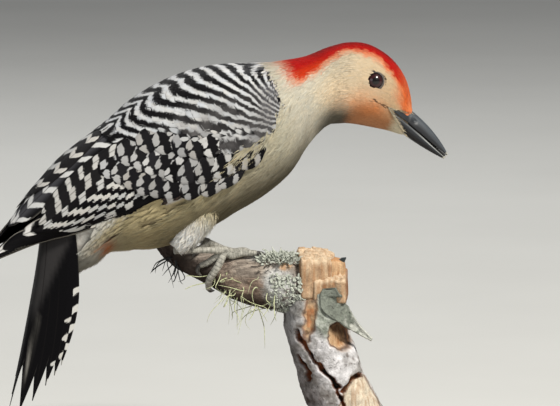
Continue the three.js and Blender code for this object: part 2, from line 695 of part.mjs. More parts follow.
addPart('head', geometryFrom(head), redCap);
addPart('neck', bodyLength(neckStart, headStart - cutAlongBody, { rings: 3, sides: 22 }), paleChest);
addPart('trunk', geometryFrom(trunk), paleChest);

const tail = tailSolid().subtract(grownTrunk).subtract(wingRoom(1, 1)).subtract(wingRoom(-1, 1));
addPart('tail', geometryFrom(mainPiece(tail)), blackPlumage);

for (const [word, side] of [['right', 1], ['left', -1]]) {
  const pieces = wingPieces(side);
  addPart(`wing_${word}_coverts`, pieces.coverts, barredPlumage);
  addPart(`wing_${word}_secondaries`, pieces.secondaries, barredPlumage);
  addPart(`wing_${word}_primaries`, pieces.primaries, blackPlumage);
  addPart(`eye_${word}`, eyeBall(side), darkEye);
}

const upperProfile = [[0, 0], [0.12, 0.3], [0.45, 0.72], [0.85, 0.98], [1, 0.94], [1, 0]];
const lowerProfile = [[0, 0], [0.15, 0.34], [0.5, 0.72], [0.9, 0.92], [1, 0.88], [1, 0]];
addPart('bill_upper', mandible(culmen, tomium, upperProfile, 0), hornBill);
addPart('bill_lower', mandible(gonys, tomium, lowerProfile, -0.34), hornBill);

const stem = perchStem();
const stemWithSocket = stem.subtract(solidOf(standRod(gap)));
let arm = solidOf(limb(armRows, { sides: 14, stepsPerRow: 2, relief: barkOnArm }));
arm = arm.subtract(perchStem(gap)).subtract(grownTrunk);
for (const leg of [rightLeg, leftLeg]) arm = arm.subtract(footSolid(leg, gap));
arm = mainPiece(arm);
addPart('perch_arm', geometryFrom(arm), lichenBark);
addPart('perch_stem', geometryFrom(mainPiece(stemWithSocket)), lichenBark);

for (const [word, leg] of [['right', rightLeg], ['left', leftLeg]]) {
  const foot = footSolid(leg);
  const thigh = solidOf(limb(leg.thigh, { sides: 10, stepsPerRow: 2 }))
    .subtract(grownTrunk)
    .subtract(footSolid(leg, gap));
  addPart(`thigh_${word}`, geometryFrom(mainPiece(thigh)), whitePlumage);
  addPart(`foot_${word}`, geometryFrom(foot), scalyLeg);
  for (let number = 0; number < leg.claws.length; number += 1) {
    addPart(`claw_${word}_${number + 1}`, clawGeometry(leg, number), clawHorn);
  }
}

addPart('stand_base', standBase(), standWood);
addPart('stand_rod', standRod(), rodMetal);

export default group;
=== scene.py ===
import bpy
import numpy as np
from mathutils.kdtree import KDTree
from types import SimpleNamespace
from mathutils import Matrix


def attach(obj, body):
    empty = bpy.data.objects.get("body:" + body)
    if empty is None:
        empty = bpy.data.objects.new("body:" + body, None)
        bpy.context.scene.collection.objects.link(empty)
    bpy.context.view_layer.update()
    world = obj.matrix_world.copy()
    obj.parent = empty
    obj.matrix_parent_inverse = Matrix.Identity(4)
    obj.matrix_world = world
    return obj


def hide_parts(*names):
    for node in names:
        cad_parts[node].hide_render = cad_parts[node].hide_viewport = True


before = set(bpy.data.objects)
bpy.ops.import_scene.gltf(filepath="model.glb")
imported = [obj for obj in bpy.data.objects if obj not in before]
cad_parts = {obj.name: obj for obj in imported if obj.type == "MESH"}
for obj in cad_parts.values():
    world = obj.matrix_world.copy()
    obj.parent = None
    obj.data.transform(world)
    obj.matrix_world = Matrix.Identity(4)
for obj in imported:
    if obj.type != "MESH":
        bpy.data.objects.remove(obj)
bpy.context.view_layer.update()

MM = 0.001  # every size below is in millimetres
chance = np.random.default_rng(1868)

# ---------------- sizes shared with the solids

# body stations from under the tail to the bill: centre, half depth, half width, pitch, yaw, roll
BODY = np.array([
    [-67.8, -19.6, 91.4, 8.8, 4.6, 66, 20, 13], [-63.8, -18.2, 96.8, 11.8, 8.4, 58, 20, 13],
    [-57.8, -16.0, 104.9, 12.8, 11.8, 39, 20, 13], [-50.1, -13.1, 112.6, 18.9, 15.6, 24, 20, 13],
    [-39.9, -9.4, 120.5, 27.8, 20.4, 22, 20, 13], [-26.1, -4.3, 127.5, 30.9, 23.8, 23.7, 20, 13],
    [-11.9, 0.9, 135.0, 30.7, 25.2, 24.7, 20, 13], [2.0, 6.0, 140.8, 28.9, 24.4, 24.3, 20, 13],
    [14.3, 10.5, 146.0, 24.8, 21.4, 22.9, 20, 11], [24.4, 13.8, 151.7, 19.2, 17.2, 18.3, 17, 8],
    [33.1, 15.9, 155.7, 16.2, 14.0, 8.8, 10, 4], [40.3, 16.8, 159.5, 15.9, 13.0, 0.1, 4, 1],
    [47.3, 17, 160.8, 16.7, 13.2, -5.6, 0, 0], [54.1, 17, 160.1, 16.6, 12.6, -12, 0, 0],
    [62.2, 17, 156.6, 14.7, 10.6, -16.5, 0, 0], [68.5, 17, 151.5, 11.1, 7.8, -20.4, 0, 0],
    [73.2, 17, 144.6, 6.0, 5.0, -19.7, 0, 0]])
# the sheath that carries the folded wings, from the wing tip to the throat
SHEATH = np.vstack([[
    [-104.3, -32.7, 90.5, 0.6, 4.6, 30, 20, 13], [-92.3, -28.4, 97.7, 3.6, 6.2, 30, 20, 13],
    [-81.1, -24.3, 105.5, 7.4, 8.8, 31, 20, 13], [-69.8, -20.2, 112.0, 12.6, 12.4, 31, 20, 13],
    [-56.9, -15.5, 118.2, 18.2, 17.0, 29, 20, 13]], BODY[4:11]])
WING_UPPER = {1: [50, 22, 41, 29, 25, 25, 33, 36, 39, 43, 47, 47],
              -1: [50, 22, 24, -13, -16, 4, 26, 36, 39, 43, 47, 47]}
WING_LOWER = [70, 88, 113, 122, 112, 91, 97, 94, 80, 68, 65, 65]
TAIL_RIDGE = np.array([[-75.5, -22.2, 102.2], [-77.6, -23.0, 76.0], [-87.4, -26.6, 36.2]])
BODY_YAW, NEAR_TAIL_SLOPE, FAR_TAIL_SLOPE = 20, 58, 12  # degrees
TAIL_TIPS = [[1.06, 3.2], [0.99, 7.4], [0.90, 11.2], [0.84, 13.8], [0.78, 15.6]]
CULMEN = np.array([[75.3, 148.8], [84.3, 141.6], [89.7, 131.3]])
TOMIUM = np.array([[73.6, 144.1], [81.4, 137.35], [89.2, 130.5]])
GONYS = np.array([[71.9, 139.1], [79.6, 133.4], [88.0, 129.3]])
MIDDLE_Y = 17.0
EYE_RADIUS = 4.3
EYE_PLACE = {1: np.array([59.3, 9.4, 162.6]), -1: np.array([59.3, 24.6, 162.6])}
ARM = np.array([
    [31, 0, 79, 12], [18.5, 0.3, 80.3, 11.2], [6.1, 1, 81.8, 9.8], [-2.1, 4, 83.5, 7.5],
    [-12.5, 9, 86.6, 6.2], [-18.3, 13.2, 89, 6], [-24.1, 19, 93.6, 6], [-29.2, 24.6, 100, 5.8],
    [-33.4, 29, 106.4, 5.6]])
STEM = np.array([
    [40, 0, 92.4, 5.6], [39.6, 0, 90, 8.4], [38.8, 0, 84, 9.6], [36.4, 0, 75, 11.4],
    [35, 0, 65.5, 13.2], [38, 0, 51.7, 12.6], [42.5, 0, 39.8, 12.7], [47.9, 0, 28.8, 12.7],
    [52.6, 0, 18, 12.7]])
STEM_CUT_Z, KNOB_TOP_Z = 22.0, 94.6
LEGS = {
    1: dict(
        thigh=[[-11, -6, 117, 7], [-13.2, -8, 109, 8], [-17.4, -9.9, 100.8, 5.2],
               [-20, -10.7, 97.4, 3.6], [-21.6, -11, 95.7, 2.3]],
        shank=[[-22.6, -11.1, 95.1, 1.7], [-19.5, -10, 94.9, 1.5], [-11, -6.6, 94.4, 1.25],
               [-4.4, -4, 94.1, 1.6], [-1.8, -2.7, 93.9, 1.7]],
        toes=[[[2.6, 30, 1.4], [2.15, 22, 1.3], [1.72, 20, 1.1]],
              [[3.02, 66, 1.45], [3.2, 104, 1.4], [3.28, 138, 1.1]],
              [[3.4, 60, 1.3], [3.5, 68, 1.2], [3.62, 76, 1.1]],
              [[2.72, 8, 1.35], [2.35, -8, 1.2], [2.12, -24, 1.0]]],
        claws=[[[1.66, 20, 1.0], [1.5, 22, 0.9], [1.38, 26, 0.3]],
               [[3.29, 143, 1.0], [3.27, 158, 0.9], [3.2, 172, 0.3]],
               [[3.66, 79, 1.0], [3.68, 96, 0.9], [3.5, 112, 0.3]],
               [[2.08, -28, 0.9], [1.98, -42, 0.8], [1.96, -56, 0.3]]]),
    -1: dict(
        thigh=[[-11, 8, 118, 7], [-13, 10, 110, 8], [-16.6, 12.6, 103, 5.2],
               [-18.8, 14, 100.2, 3.6], [-20.2, 14.8, 98.8, 2.3]],
        shank=[[-21, 15.4, 98.4, 1.7], [-18.6, 14.2, 98.2, 1.5], [-14, 11.6, 97, 1.25],
               [-10.6, 9.2, 96.1, 1.6], [-9.2, 8.2, 95.7, 1.7]],
        toes=[[[3.35, -22, 1.4], [3.05, -36, 1.3], [2.75, -46, 1.1]],
              [[3.8, -44, 1.45], [3.85, -76, 1.4], [3.9, -108, 1.1]],
              [[4.15, -26, 1.3], [4.25, -37, 1.2], [4.35, -48, 1.1]],
              [[3.98, 8, 1.3], [3.99, 17, 1.2], [4.0, 26, 1.1]]],
        claws=[[[2.71, -48, 1.0], [2.58, -56, 0.9], [2.5, -64, 0.3]],
               [[3.9, -113, 1.0], [3.88, -130, 0.9], [3.84, -146, 0.3]],
               [[4.37, -53, 1.0], [4.4, -72, 0.9], [4.32, -90, 0.3]],
               [[4.0, 31, 1.0], [4.03, 46, 0.9], [4.1, 60, 0.3]]])}
ARM_RELIEF, TOE_LIFT = 1.06, 0.35
SIDE_WORD = {1: "right", -1: "left"}

# White bars across the back and the quills, as one field each: powers of place along
# the sheath and of the angle round it, and the weight of each.
BACK_BARS = [(0, 0, 4.345), (0, 1, 2.224), (0, 2, 1.3), (0, 3, -0.175), (0, 4, 0.546), (1, 0, -6.251),
             (1, 1, -2.421), (1, 2, 1.014), (1, 3, 2.935), (2, 0, -2.451), (2, 1, -4.007),
             (2, 2, 0.772), (3, 0, 0.076), (3, 1, -2.119), (4, 0, 0.865)]
QUILL_BARS = [(0, 0, 2.291), (0, 1, 1.527), (0, 2, 1.239), (0, 3, -0.163), (1, 0, -2.232),
              (1, 1, 1.765), (1, 2, 0.052), (2, 0, 0.245), (2, 1, 0.584), (3, 0, 0.294)]

# ---------------- plain helpers


def smooth_row(rows, u):
    """Rows blended smoothly at places u: Catmull-Rom's cubic through the four nearest rows."""
    rows = np.asarray(rows, float)
    u = np.clip(np.asarray(u, float), 0, len(rows) - 1)
    i = np.minimum(u.astype(int), len(rows) - 2)
    f = (u - i)[..., None]
    a, b, c, d = [rows[np.clip(i + k, 0, len(rows) - 1)] for k in (-1, 0, 1, 2)]
    return 0.5 * (2 * b + (c - a) * f + (2 * a - 5 * b + 4 * c - d) * f**2 + (3 * b - a - 3 * c + d) * f**3)


def smooth_value(values, u):
    """The same blend for one number a station."""
    return smooth_row(np.asarray(values, float)[:, None], u)[..., 0]


def unit(v):
    """Vectors scaled to length one."""
    return v / np.maximum(np.linalg.norm(v, axis=-1, keepdims=True), 1e-9)


def ease(a, b, x):
    """0 before a, 1 after b, and 3x^2 - 2x^3 between them."""
    x = np.clip((x - a) / (b - a), 0, 1)
    return x * x * (3 - 2 * x)


def lin(r, g, b):
    """A colour as seen, 0 to 255 a channel, as the light it sends back."""
    c = np.array([r, g, b]) / 255
    return np.where(c <= 0.04045, c / 12.92, ((c + 0.055) / 1.055)**2.4)


def lumps(p, size, seed=0):
    """Soft lumps of this size, -1 to 1: a hashed value at each corner of a cubic lattice,
    blended over each cell by 3x^2 - 2x^3 in all three directions."""
    q = np.asarray(p, float) / size
    i = np.floor(q).astype(np.int64)
    f = q - i
    f = f * f * (3 - 2 * f)
    total = 0
    for corner in range(8):
        step = np.array([corner & 1, corner >> 1 & 1, corner >> 2])
        k = i + step
        h = (k[..., 0] * 73856093) ^ (k[..., 1] * 19349663) ^ (k[..., 2] * 83492791) ^ (seed * 40503 + 977)
        h = ((h ^ (h >> 13)) * 1274126177) & 0xFFFFFFFF
        h = (h ^ (h >> 15)) & 0xFFFF
        weight = np.prod(np.where(step == 1, f, 1 - f), axis=-1)
        total = total + weight * (h / 32767.5 - 1)
    return total


def crags(p, size, seed=0):
    """Lumps on lumps: each of four rounds half the size and half the height of the one before."""
    return sum(lumps(p, size / 2**k, seed + k) / 2**k for k in range(4)) / 1.9


def ahead_of(rows, u):
    """Direction of the path of smooth rows at places u."""
    return unit(smooth_row(rows, u + 0.05)[..., :3] - smooth_row(rows, u - 0.05)[..., :3])


def side_angle(a):
    """Angle from the middle of the back, 0 to 180, on either side."""
    return np.abs(np.mod(a + 180, 360) - 180)


def gaps(points):
    """Millimetres walked along each path of points, from 0 at its start."""
    return np.r_[0, np.cumsum(np.linalg.norm(np.diff(points, axis=0), axis=-1))]


def full_turn(count):
    """Angles spread evenly round a circle."""
    return np.linspace(0, 2 * np.pi, count, endpoint=False)


def zipped(*parts):
    """Numbers and arrays side by side along a new last axis, each first spread to fit the others."""
    return np.stack(np.broadcast_arrays(*parts), -1)


def loft(rows, u, a):
    """A point on a station loft: the section's centre, plus depth times cos(a) upwards, plus
    width times sin(a) sideways, where the width is 8 percent more above than below."""
    u, a = np.broadcast_arrays(np.asarray(u, float), np.radians(np.asarray(a, float)))
    before = np.minimum(u, 0)[..., None] * (rows[1] - rows[0])  # straight on past the first station
    s = smooth_row(rows, u) + before * [1, 1, 1, 0.8, 0.5, 0, 0, 0]
    p, w, r = [np.radians(s[..., k]) for k in (5, 6, 7)]
    forward = zipped(np.cos(p) * np.cos(w), np.cos(p) * np.sin(w), np.sin(p))
    right = zipped(np.sin(w), -np.cos(w), 0 * w)
    up = np.cross(right, forward)
    side = np.cos(r)[..., None] * right - np.sin(r)[..., None] * up
    top = np.cos(r)[..., None] * up + np.sin(r)[..., None] * right
    high = s[..., 3] * np.cos(a)
    wide = s[..., 4] * np.sin(a) * (1 + 0.08 * np.cos(a))
    return s[..., :3] + top * high[..., None] + side * wide[..., None]


def on_body(u, a):
    """The body's outline at station u and angle a, in degrees from the top to the bird's right."""
    return loft(BODY, u, a)


def on_sheath(u, a):
    """The sheath that carries the folded wings."""
    return loft(SHEATH, u, a)


def curve2(points, v):
    """Bezier's curve of three control points."""
    v = np.asarray(v, float)[..., None]
    return (1 - v)**2 * points[0] + 2 * v * (1 - v) * points[1] + v**2 * points[2]


def on_tail(v, q):
    """The tail's upper face: down its ridge by v, then q millimetres across, down the near
    slope where q is positive and the far slope where it is negative, round over the ridge."""
    v, q = np.broadcast_arrays(np.asarray(v, float), np.asarray(q, float))
    ridge = curve2(TAIL_RIDGE, v)
    along = unit(curve2(TAIL_RIDGE, v - 0.01) - curve2(TAIL_RIDGE, v + 0.01))
    w = np.radians(BODY_YAW)
    right = np.array([np.sin(w), -np.cos(w), 0])
    up = unit(np.cross(right, along))
    round_over = np.sqrt(q * q + 1.4)
    near, far = [np.radians(k) for k in (NEAR_TAIL_SLOPE, FAR_TAIL_SLOPE)]
    out = ((q + round_over) / 2)[..., None] * (np.cos(near) * right - np.sin(near) * up)
    back = ((round_over - q) / 2)[..., None] * (-np.cos(far) * right - np.sin(far) * up)
    return ridge + out + back


def tail_carrier(u, a):
    """The tail laid out as the lofts are: u falls towards the tip, a is in tenths of a millimetre."""
    return on_tail(-u, a / 10)


def field(terms, u, a, middle, spread):
    """A sum of weights times powers of the scaled place along and the scaled angle round."""
    x, y = (u - middle[0]) / spread[0], (a - middle[1]) / spread[1]
    return sum(weight * x**i * y**j for i, j, weight in terms)


def back_bars(u, a):
    """Whole numbers of this lie on the white bars of the back and shoulder feathers."""
    a = np.clip(np.abs(a), 0, 74)
    return field(BACK_BARS, np.clip(u, 5.0, 9.6), a, (8, 30), (2, 40))


def quill_bars(u, a):
    """Whole numbers of this lie on the white bars of the folded quills."""
    return field(QUILL_BARS, np.clip(u, 1.9, 5.4), np.clip(np.abs(a), 12, 108), (3.5, 70), (1.5, 40))


AXIS_STATIONS = np.linspace(0, 11, 1101)
AXIS = gaps(smooth_row(SHEATH, AXIS_STATIONS)[:, :3])


def along_sheath(u):
    """Millimetres from the wing tip to station u."""
    return np.interp(u, AXIS_STATIONS, AXIS)


# ---------------- meshes


def closed_map(at, sizes):
    """Baking map by face corner: a face across the seam of a closed ring keeps to the far edge,
    and one without width, as at a pole, gets a speck of its own round its middle."""
    first = np.r_[0, np.cumsum(sizes)[:-1]]
    for corners in np.unique(sizes):
        index = first[sizes == corners][:, None] + np.arange(corners)
        face = at[index]
        for axis in (0, 1):
            low, high = face[..., axis].min(1, keepdims=True), face[..., axis].max(1, keepdims=True)
            torn = (high - low > 0.5) & (corners > 2)
            near = torn & (face[..., axis] < (low + high) / 2)
            face[..., axis] = np.where(near, np.minimum(high + 0.006, 0.99), face[..., axis])
        ahead = np.roll(face, -1, axis=1)
        area = np.abs((face[..., 0] * ahead[..., 1] - face[..., 1] * ahead[..., 0]).sum(1))
        turn = 2 * np.pi * np.arange(corners) / corners
        speck = face.mean(1, keepdims=True) + 0.0012 * zipped(np.cos(turn), np.sin(turn))
        at[index] = np.where((area < 2e-8)[:, None, None], speck, face)
    return np.clip(at, 0.001, 0.999)


def show(name, data):
    """An object of this data, put into the scene."""
    shown = bpy.data.objects.new(name, data)
    bpy.context.scene.collection.objects.link(shown)
    return shown


def make_piece(name, points, faces, material, maps, fields=None, tints=None, under=None, own_share=0.4):
    """A mesh from points in millimetres and lists of corner numbers, with maps and fields a point
    each. Where `under` gives the direction square to the body below, the shading takes it and
    a share of the vane's own, so that a coat of thin vanes shades as one soft surface."""
    points = np.asarray(points, float).reshape(-1, 3)
    mesh = bpy.data.meshes.new(name)
    mesh.vertices.add(len(points))
    mesh.vertices.foreach_set("co", (points * MM).astype(np.float32).ravel())
    corners = np.concatenate([f.ravel() for f in faces]).astype(np.int32)
    sizes = np.concatenate([np.full(len(f), f.shape[1]) for f in faces])
    mesh.loops.add(len(corners))
    mesh.loops.foreach_set("vertex_index", corners)
    mesh.polygons.add(len(sizes))
    mesh.polygons.foreach_set("loop_start", np.r_[0, np.cumsum(sizes)[:-1]].astype(np.int32))
    mesh.polygons.foreach_set("use_smooth", np.ones(len(sizes), bool))
    for label, uv in maps.items():
        layer = mesh.uv_layers.new(name=label)
        at = np.asarray(uv, float).reshape(-1, 2)[corners]
        layer.uv.foreach_set("vector", (closed_map(at, sizes) if label == "OFBake" else at).astype(np.float32).ravel())
    for label, value in (fields or {}).items():
        mesh.attributes.new(label, "FLOAT_VECTOR", "POINT").data.foreach_set(
            "vector", np.asarray(value, np.float32).reshape(-1, 3).ravel())
    for label, value in (tints or {}).items():
        value = np.clip(np.asarray(value, np.float32).reshape(-1, 3), 0, 1)
        value = np.c_[value, np.ones(len(value), np.float32)]
        mesh.attributes.new(label, "FLOAT_COLOR", "POINT").data.foreach_set("color", value.ravel())
    mesh.update(calc_edges=True)
    mesh.validate()
    if under is not None:
        own = np.zeros(len(points) * 3, np.float32)
        mesh.vertex_normals.foreach_get("vector", own)
        own = own.reshape(-1, 3)
        if (own * under).sum() < 0:
            under = -under
        soft = under + own_share * own * np.where((own * under).sum(-1, keepdims=True) < 0, 0, 1)
        mesh.normals_split_custom_set_from_vertices(unit(soft).astype(np.float32))
    mesh.materials.append(material)
    piece = show(name, mesh)
    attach(piece, "root")
    return piece


def tube_faces(rings, sides, start=0, caps=True):
    """Four-cornered faces of a closed tube of rings, and a fan of three-cornered ones over each end."""
    i, j = np.meshgrid(np.arange(rings - 1), np.arange(sides), indexing="ij")
    k = (j + 1) % sides
    at = lambda r, c: start + r * sides + c
    quads = zipped(at(i, j), at(i + 1, j), at(i + 1, k), at(i, k)).reshape(-1, 4)
    c = np.arange(1, sides - 1)
    first = zipped(at(0, 0) + 0 * c, at(0, c), at(0, c + 1))
    last = zipped(at(rings - 1, 0) + 0 * c, at(rings - 1, c + 1), at(rings - 1, c))
    return [quads, np.vstack([first, last])] if caps else [quads]


def many(faces, count, size):
    """The same faces for each of `count` like shapes of `size` points."""
    shift = (np.arange(count) * size)[:, None, None]
    return [(f[None] + shift).reshape(-1, f.shape[1]) for f in faces]


def outward(faces, points):
    """Faces turned so that the volume they enclose is positive."""
    p = np.asarray(points, float).reshape(-1, 3)
    volume = 0
    for f in faces:
        for k in range(1, f.shape[1] - 1):
            volume += np.einsum("ij,ij->i", p[f[:, 0]], np.cross(p[f[:, k]], p[f[:, k + 1]])).sum()
    return faces if volume > 0 else [f[:, ::-1] for f in faces]


def limb_points(rows, steps=8, sides=16, relief=None, reference=None, spread=1.0):
    """A tube along smooth rows of centre and radius: each ring lies square to the path, its
    zero angle in the plane of the path and a fixed reference direction."""
    rows = np.asarray(rows, float)
    u = np.linspace(0, len(rows) - 1, (len(rows) - 1) * steps + 1)
    s = smooth_row(rows, u)
    along = ahead_of(rows, u)
    reference = np.array([0, 0, 1.0]) if reference is None else np.asarray(reference, float)
    side = unit(np.cross(along, reference))
    up = np.cross(side, along)
    a = full_turn(sides)
    u2, a2 = np.meshgrid(u, a, indexing="ij")
    reach = s[:, 3:4] * (1 if relief is None else relief(u2, a2)) * spread
    ring = up[:, None] * np.cos(a)[None, :, None] + side[:, None] * np.sin(a)[None, :, None]
    return s[:, None, :3] + ring * reach[..., None], u2, a2


def metric(carrier, u, a):
    """The carrier's two tangents at a place, per station and per degree, and its outward normal."""
    u = np.maximum(u, -1.3 if carrier is tail_carrier else 0.02)
    e_u = (carrier(u + 0.01, a) - carrier(u - 0.01, a)) / 0.02
    e_a = carrier(u, a + 0.5) - carrier(u, a - 0.5)
    return e_u, e_a, unit(np.cross(e_a, e_u))


def headings(carrier, u, a, heading, length, rings=6):
    """Places along a feather's middle line: it starts at its root towards the tail, turned by
    `heading` degrees away from the back, and steps straight on over the carrier."""
    u, a, heading, length = [np.array(k, float) for k in np.broadcast_arrays(u, a, heading, length)]
    turn = np.radians(heading) * np.where(a < 0, -1, 1)
    path = [zipped(u, a)]
    for _ in range(rings - 1):
        e_u, e_a, _normal = metric(carrier, u, a)
        reach = np.linalg.norm(e_u, axis=-1)
        ahead = e_u / reach[..., None]
        shared = np.sum(e_a * ahead, -1)
        square = np.linalg.norm(e_a - shared[..., None] * ahead, axis=-1)
        step = length / (rings - 1)
        u = u + step * (-np.cos(turn) - np.sin(turn) * shared / square) / reach
        a = a + step * np.sin(turn) / square
        path.append(zipped(u, a))
    return np.stack(path, 1)


def outline_of(kind, s):
    """Half width of a vane at s from root 0 to tip 1, as a share of the widest."""
    shapes = {
        "round": np.sqrt(np.clip(1 - np.clip((s - 0.55) / 0.45, 0, 1)**2.4, 0, 1)) * (0.3 + 0.7 * ease(0, 0.4, s)),
        "soft": np.clip(1 - np.clip((s - 0.45) / 0.55, 0, 1)**1.8, 0, 1) * (0.35 + 0.65 * ease(0, 0.4, s)),
        "wisp": (0.4 + 0.6 * ease(0, 0.3, s)) * (1 - np.clip((s - 0.3) / 0.7, 0, 1)**1.3),
        "quill": np.sqrt(np.clip(1 - np.clip((s - 0.8) / 0.2, 0, 1)**2.6, 0, 1)) * (0.5 + 0.5 * ease(0, 0.2, s)),
        "spear": (1 - np.clip((s - 0.62) / 0.38, 0, 1)**1.5) * (0.6 + 0.4 * ease(0, 0.2, s))}
    return np.maximum(shapes[kind], 0.035)


def lay_vanes(carrier, path, half_width, root_height, tip_height, kind="round", across=3, camber=0.12,
              thick=0.12, lift_power=1.3, ragged=0.0):
    """Closed vanes over a carrier. Along each middle line the sections run from edge to edge:
    place = middle + across * half width * outline, height = root height + rise * s^power,
    a crown of camber * half width * (1 - across^2) and a flat underside joined at the edges."""
    count, rings = path.shape[:2]
    s = np.linspace(0, 1, rings)
    w = np.linspace(-1, 1, across)
    u, a = path[..., 0], path[..., 1]
    e_u, e_a, normal = metric(carrier, u, a)
    du, da = np.gradient(u, axis=1), np.gradient(a, axis=1)
    along = unit(e_u * du[..., None] + e_a * da[..., None])
    over = np.cross(normal, along)
    ee, ff, gg = np.sum(e_u * e_u, -1), np.sum(e_u * e_a, -1), np.sum(e_a * e_a, -1)
    m, n = np.sum(over * e_u, -1), np.sum(over * e_a, -1)
    det = ee * gg - ff * ff
    step_u, step_a = (gg * m - ff * n) / det, (ee * n - ff * m) / det
    half = np.asarray(half_width, float)
    half = (half if half.ndim == 2 else half.reshape(-1, 1)) * np.ones((count, rings)) * outline_of(kind, s)
    if ragged:
        half = half * (1 + ragged * chance.uniform(-1, 1, half.shape))
    x = half[..., None] * w
    vu, va = u[..., None] + step_u[..., None] * x, a[..., None] + step_a[..., None] * x
    place = carrier(vu, va)
    face = metric(carrier, vu, va)[2]
    low, high = [np.reshape(np.broadcast_to(h, (count,)), (-1, 1, 1)) for h in (root_height, tip_height)]
    crown = (1 - w**2)[None, None] * (camber * half[..., None] + thick)
    height = low + (high - low) * (s**lift_power)[None, :, None] + crown
    points = place + face * height[..., None]
    faces = many(tube_faces(rings, across), count, rings * across)
    return SimpleNamespace(points=points, faces=faces, under=face, u=vu, a=va, x=x, w=np.broadcast_to(w, x.shape),
                s=np.broadcast_to(s[None, :, None], x.shape), length=along_length(points), rings=rings,
                across=across, root=path[:, 0], count=count)


def along_length(points):
    """Millimetres from the root along each vane's middle column."""
    middle = points[:, :, points.shape[2] // 2]
    run = np.r_["1", np.zeros((len(points), 1)), np.cumsum(np.linalg.norm(np.diff(middle, axis=1), axis=-1), axis=1)]
    return np.broadcast_to(run[..., None], points.shape[:3])


def patch_map(v, place):
    """Baking map of small tufts: a small patch at each root's place on the body's own unwrap,
    with the middle column set a little forward so that no face is without width."""
    size = 0.003
    along = (v.s - 0.5 + 0.12 * (1 - v.w**2)) * size
    over = v.w * 0.5 * size
    return zipped(place[:, None, None, 0] + along, place[:, None, None, 1] + over)


def cell_map(v, box):
    """Baking map of long feathers: an upright cell of its own for each, side by side in part of
    the square: left, low, right, high."""
    n = v.count
    x = ((np.arange(n) + 0.5) / n)[:, None, None] + v.w * 0.42 / n
    y = 0.5 + (v.s - 0.5 + 0.03 * (1 - v.w**2)) * 0.86
    return zipped(box[0] + x * (box[2] - box[0]), box[1] + y * (box[3] - box[1]))


def square_map(n):
    """Baking map of a grid of n points, spread over the square."""
    return zipped(np.linspace(0.04, 0.96, n[0])[:, None], np.linspace(0.04, 0.96, n[1])[None])


def body_place(u, a):
    """A root's place on the body's unwrap: station across, angle up, inside 0.04 to 0.96."""
    return zipped(0.04 + 0.92 * u / 16, 0.04 + 0.92 * np.mod(a + 180, 360) / 360)


def gathered(shapes):
    """Several shapes as one: all their points in a row, and their faces renumbered to match."""
    starts = np.cumsum([0] + [points.size // 3 for points, _faces in shapes[:-1]])
    return (np.concatenate([points.reshape(-1, 3) for points, _faces in shapes]),
            [np.vstack([faces[k] + start for (_points, faces), start in zip(shapes, starts)]) for k in (0, 1)])


def feather_piece(name, vanes, material):
    """One mesh of several sets of vanes, each with its tint, dark colour, bars and baking map:
    its own, or a patch for each tuft at its root's place, the roots spread to fill the map."""
    if vanes[0].bake is None:
        places = np.concatenate([v.place for v in vanes])
        low, high = places.min(0), places.max(0)
        for v in vanes:
            v.bake = patch_map(v, 0.03 + 0.94 * (v.place - low) / (high - low))
    for v in vanes:
        v.vane, v.marks = zipped(v.x, v.length), zipped(v.w, v.y)
    points, faces = gathered([(v.points, v.faces) for v in vanes])
    flat = lambda key, width=3: np.concatenate([
        np.broadcast_to(getattr(v, key), v.x.shape + (width,)).reshape(-1, width) for v in vanes])
    return make_piece(name, points, faces, material,
                      {"OFBake": flat("bake", 2), "Vane": flat("vane", 2), "Marks": flat("marks", 2)},
                      {"bars": flat("bars"), "look": flat("look")}, {"tint": flat("tint"), "dark": flat("dark")},
                      flat("under"), 1.3 if material is soft_plumage else 0.45)


# ---------------- finishes


class Wire:
    """An output of a node that takes plain sums: each + - * or abs adds the node that works it out."""

    def __init__(self, finish, socket):
        self.finish, self.socket = finish, socket

    def __add__(self, other):
        return self.finish.sum("ADD", self, other)

    def __radd__(self, other):
        return self.finish.sum("ADD", other, self)

    def __sub__(self, other):
        return self.finish.sum("SUBTRACT", self, other)

    def __rsub__(self, other):
        return self.finish.sum("SUBTRACT", other, self)

    def __mul__(self, other):
        return self.finish.sum("MULTIPLY", self, other)

    def __abs__(self):
        return self.finish.sum("ABSOLUTE", self)


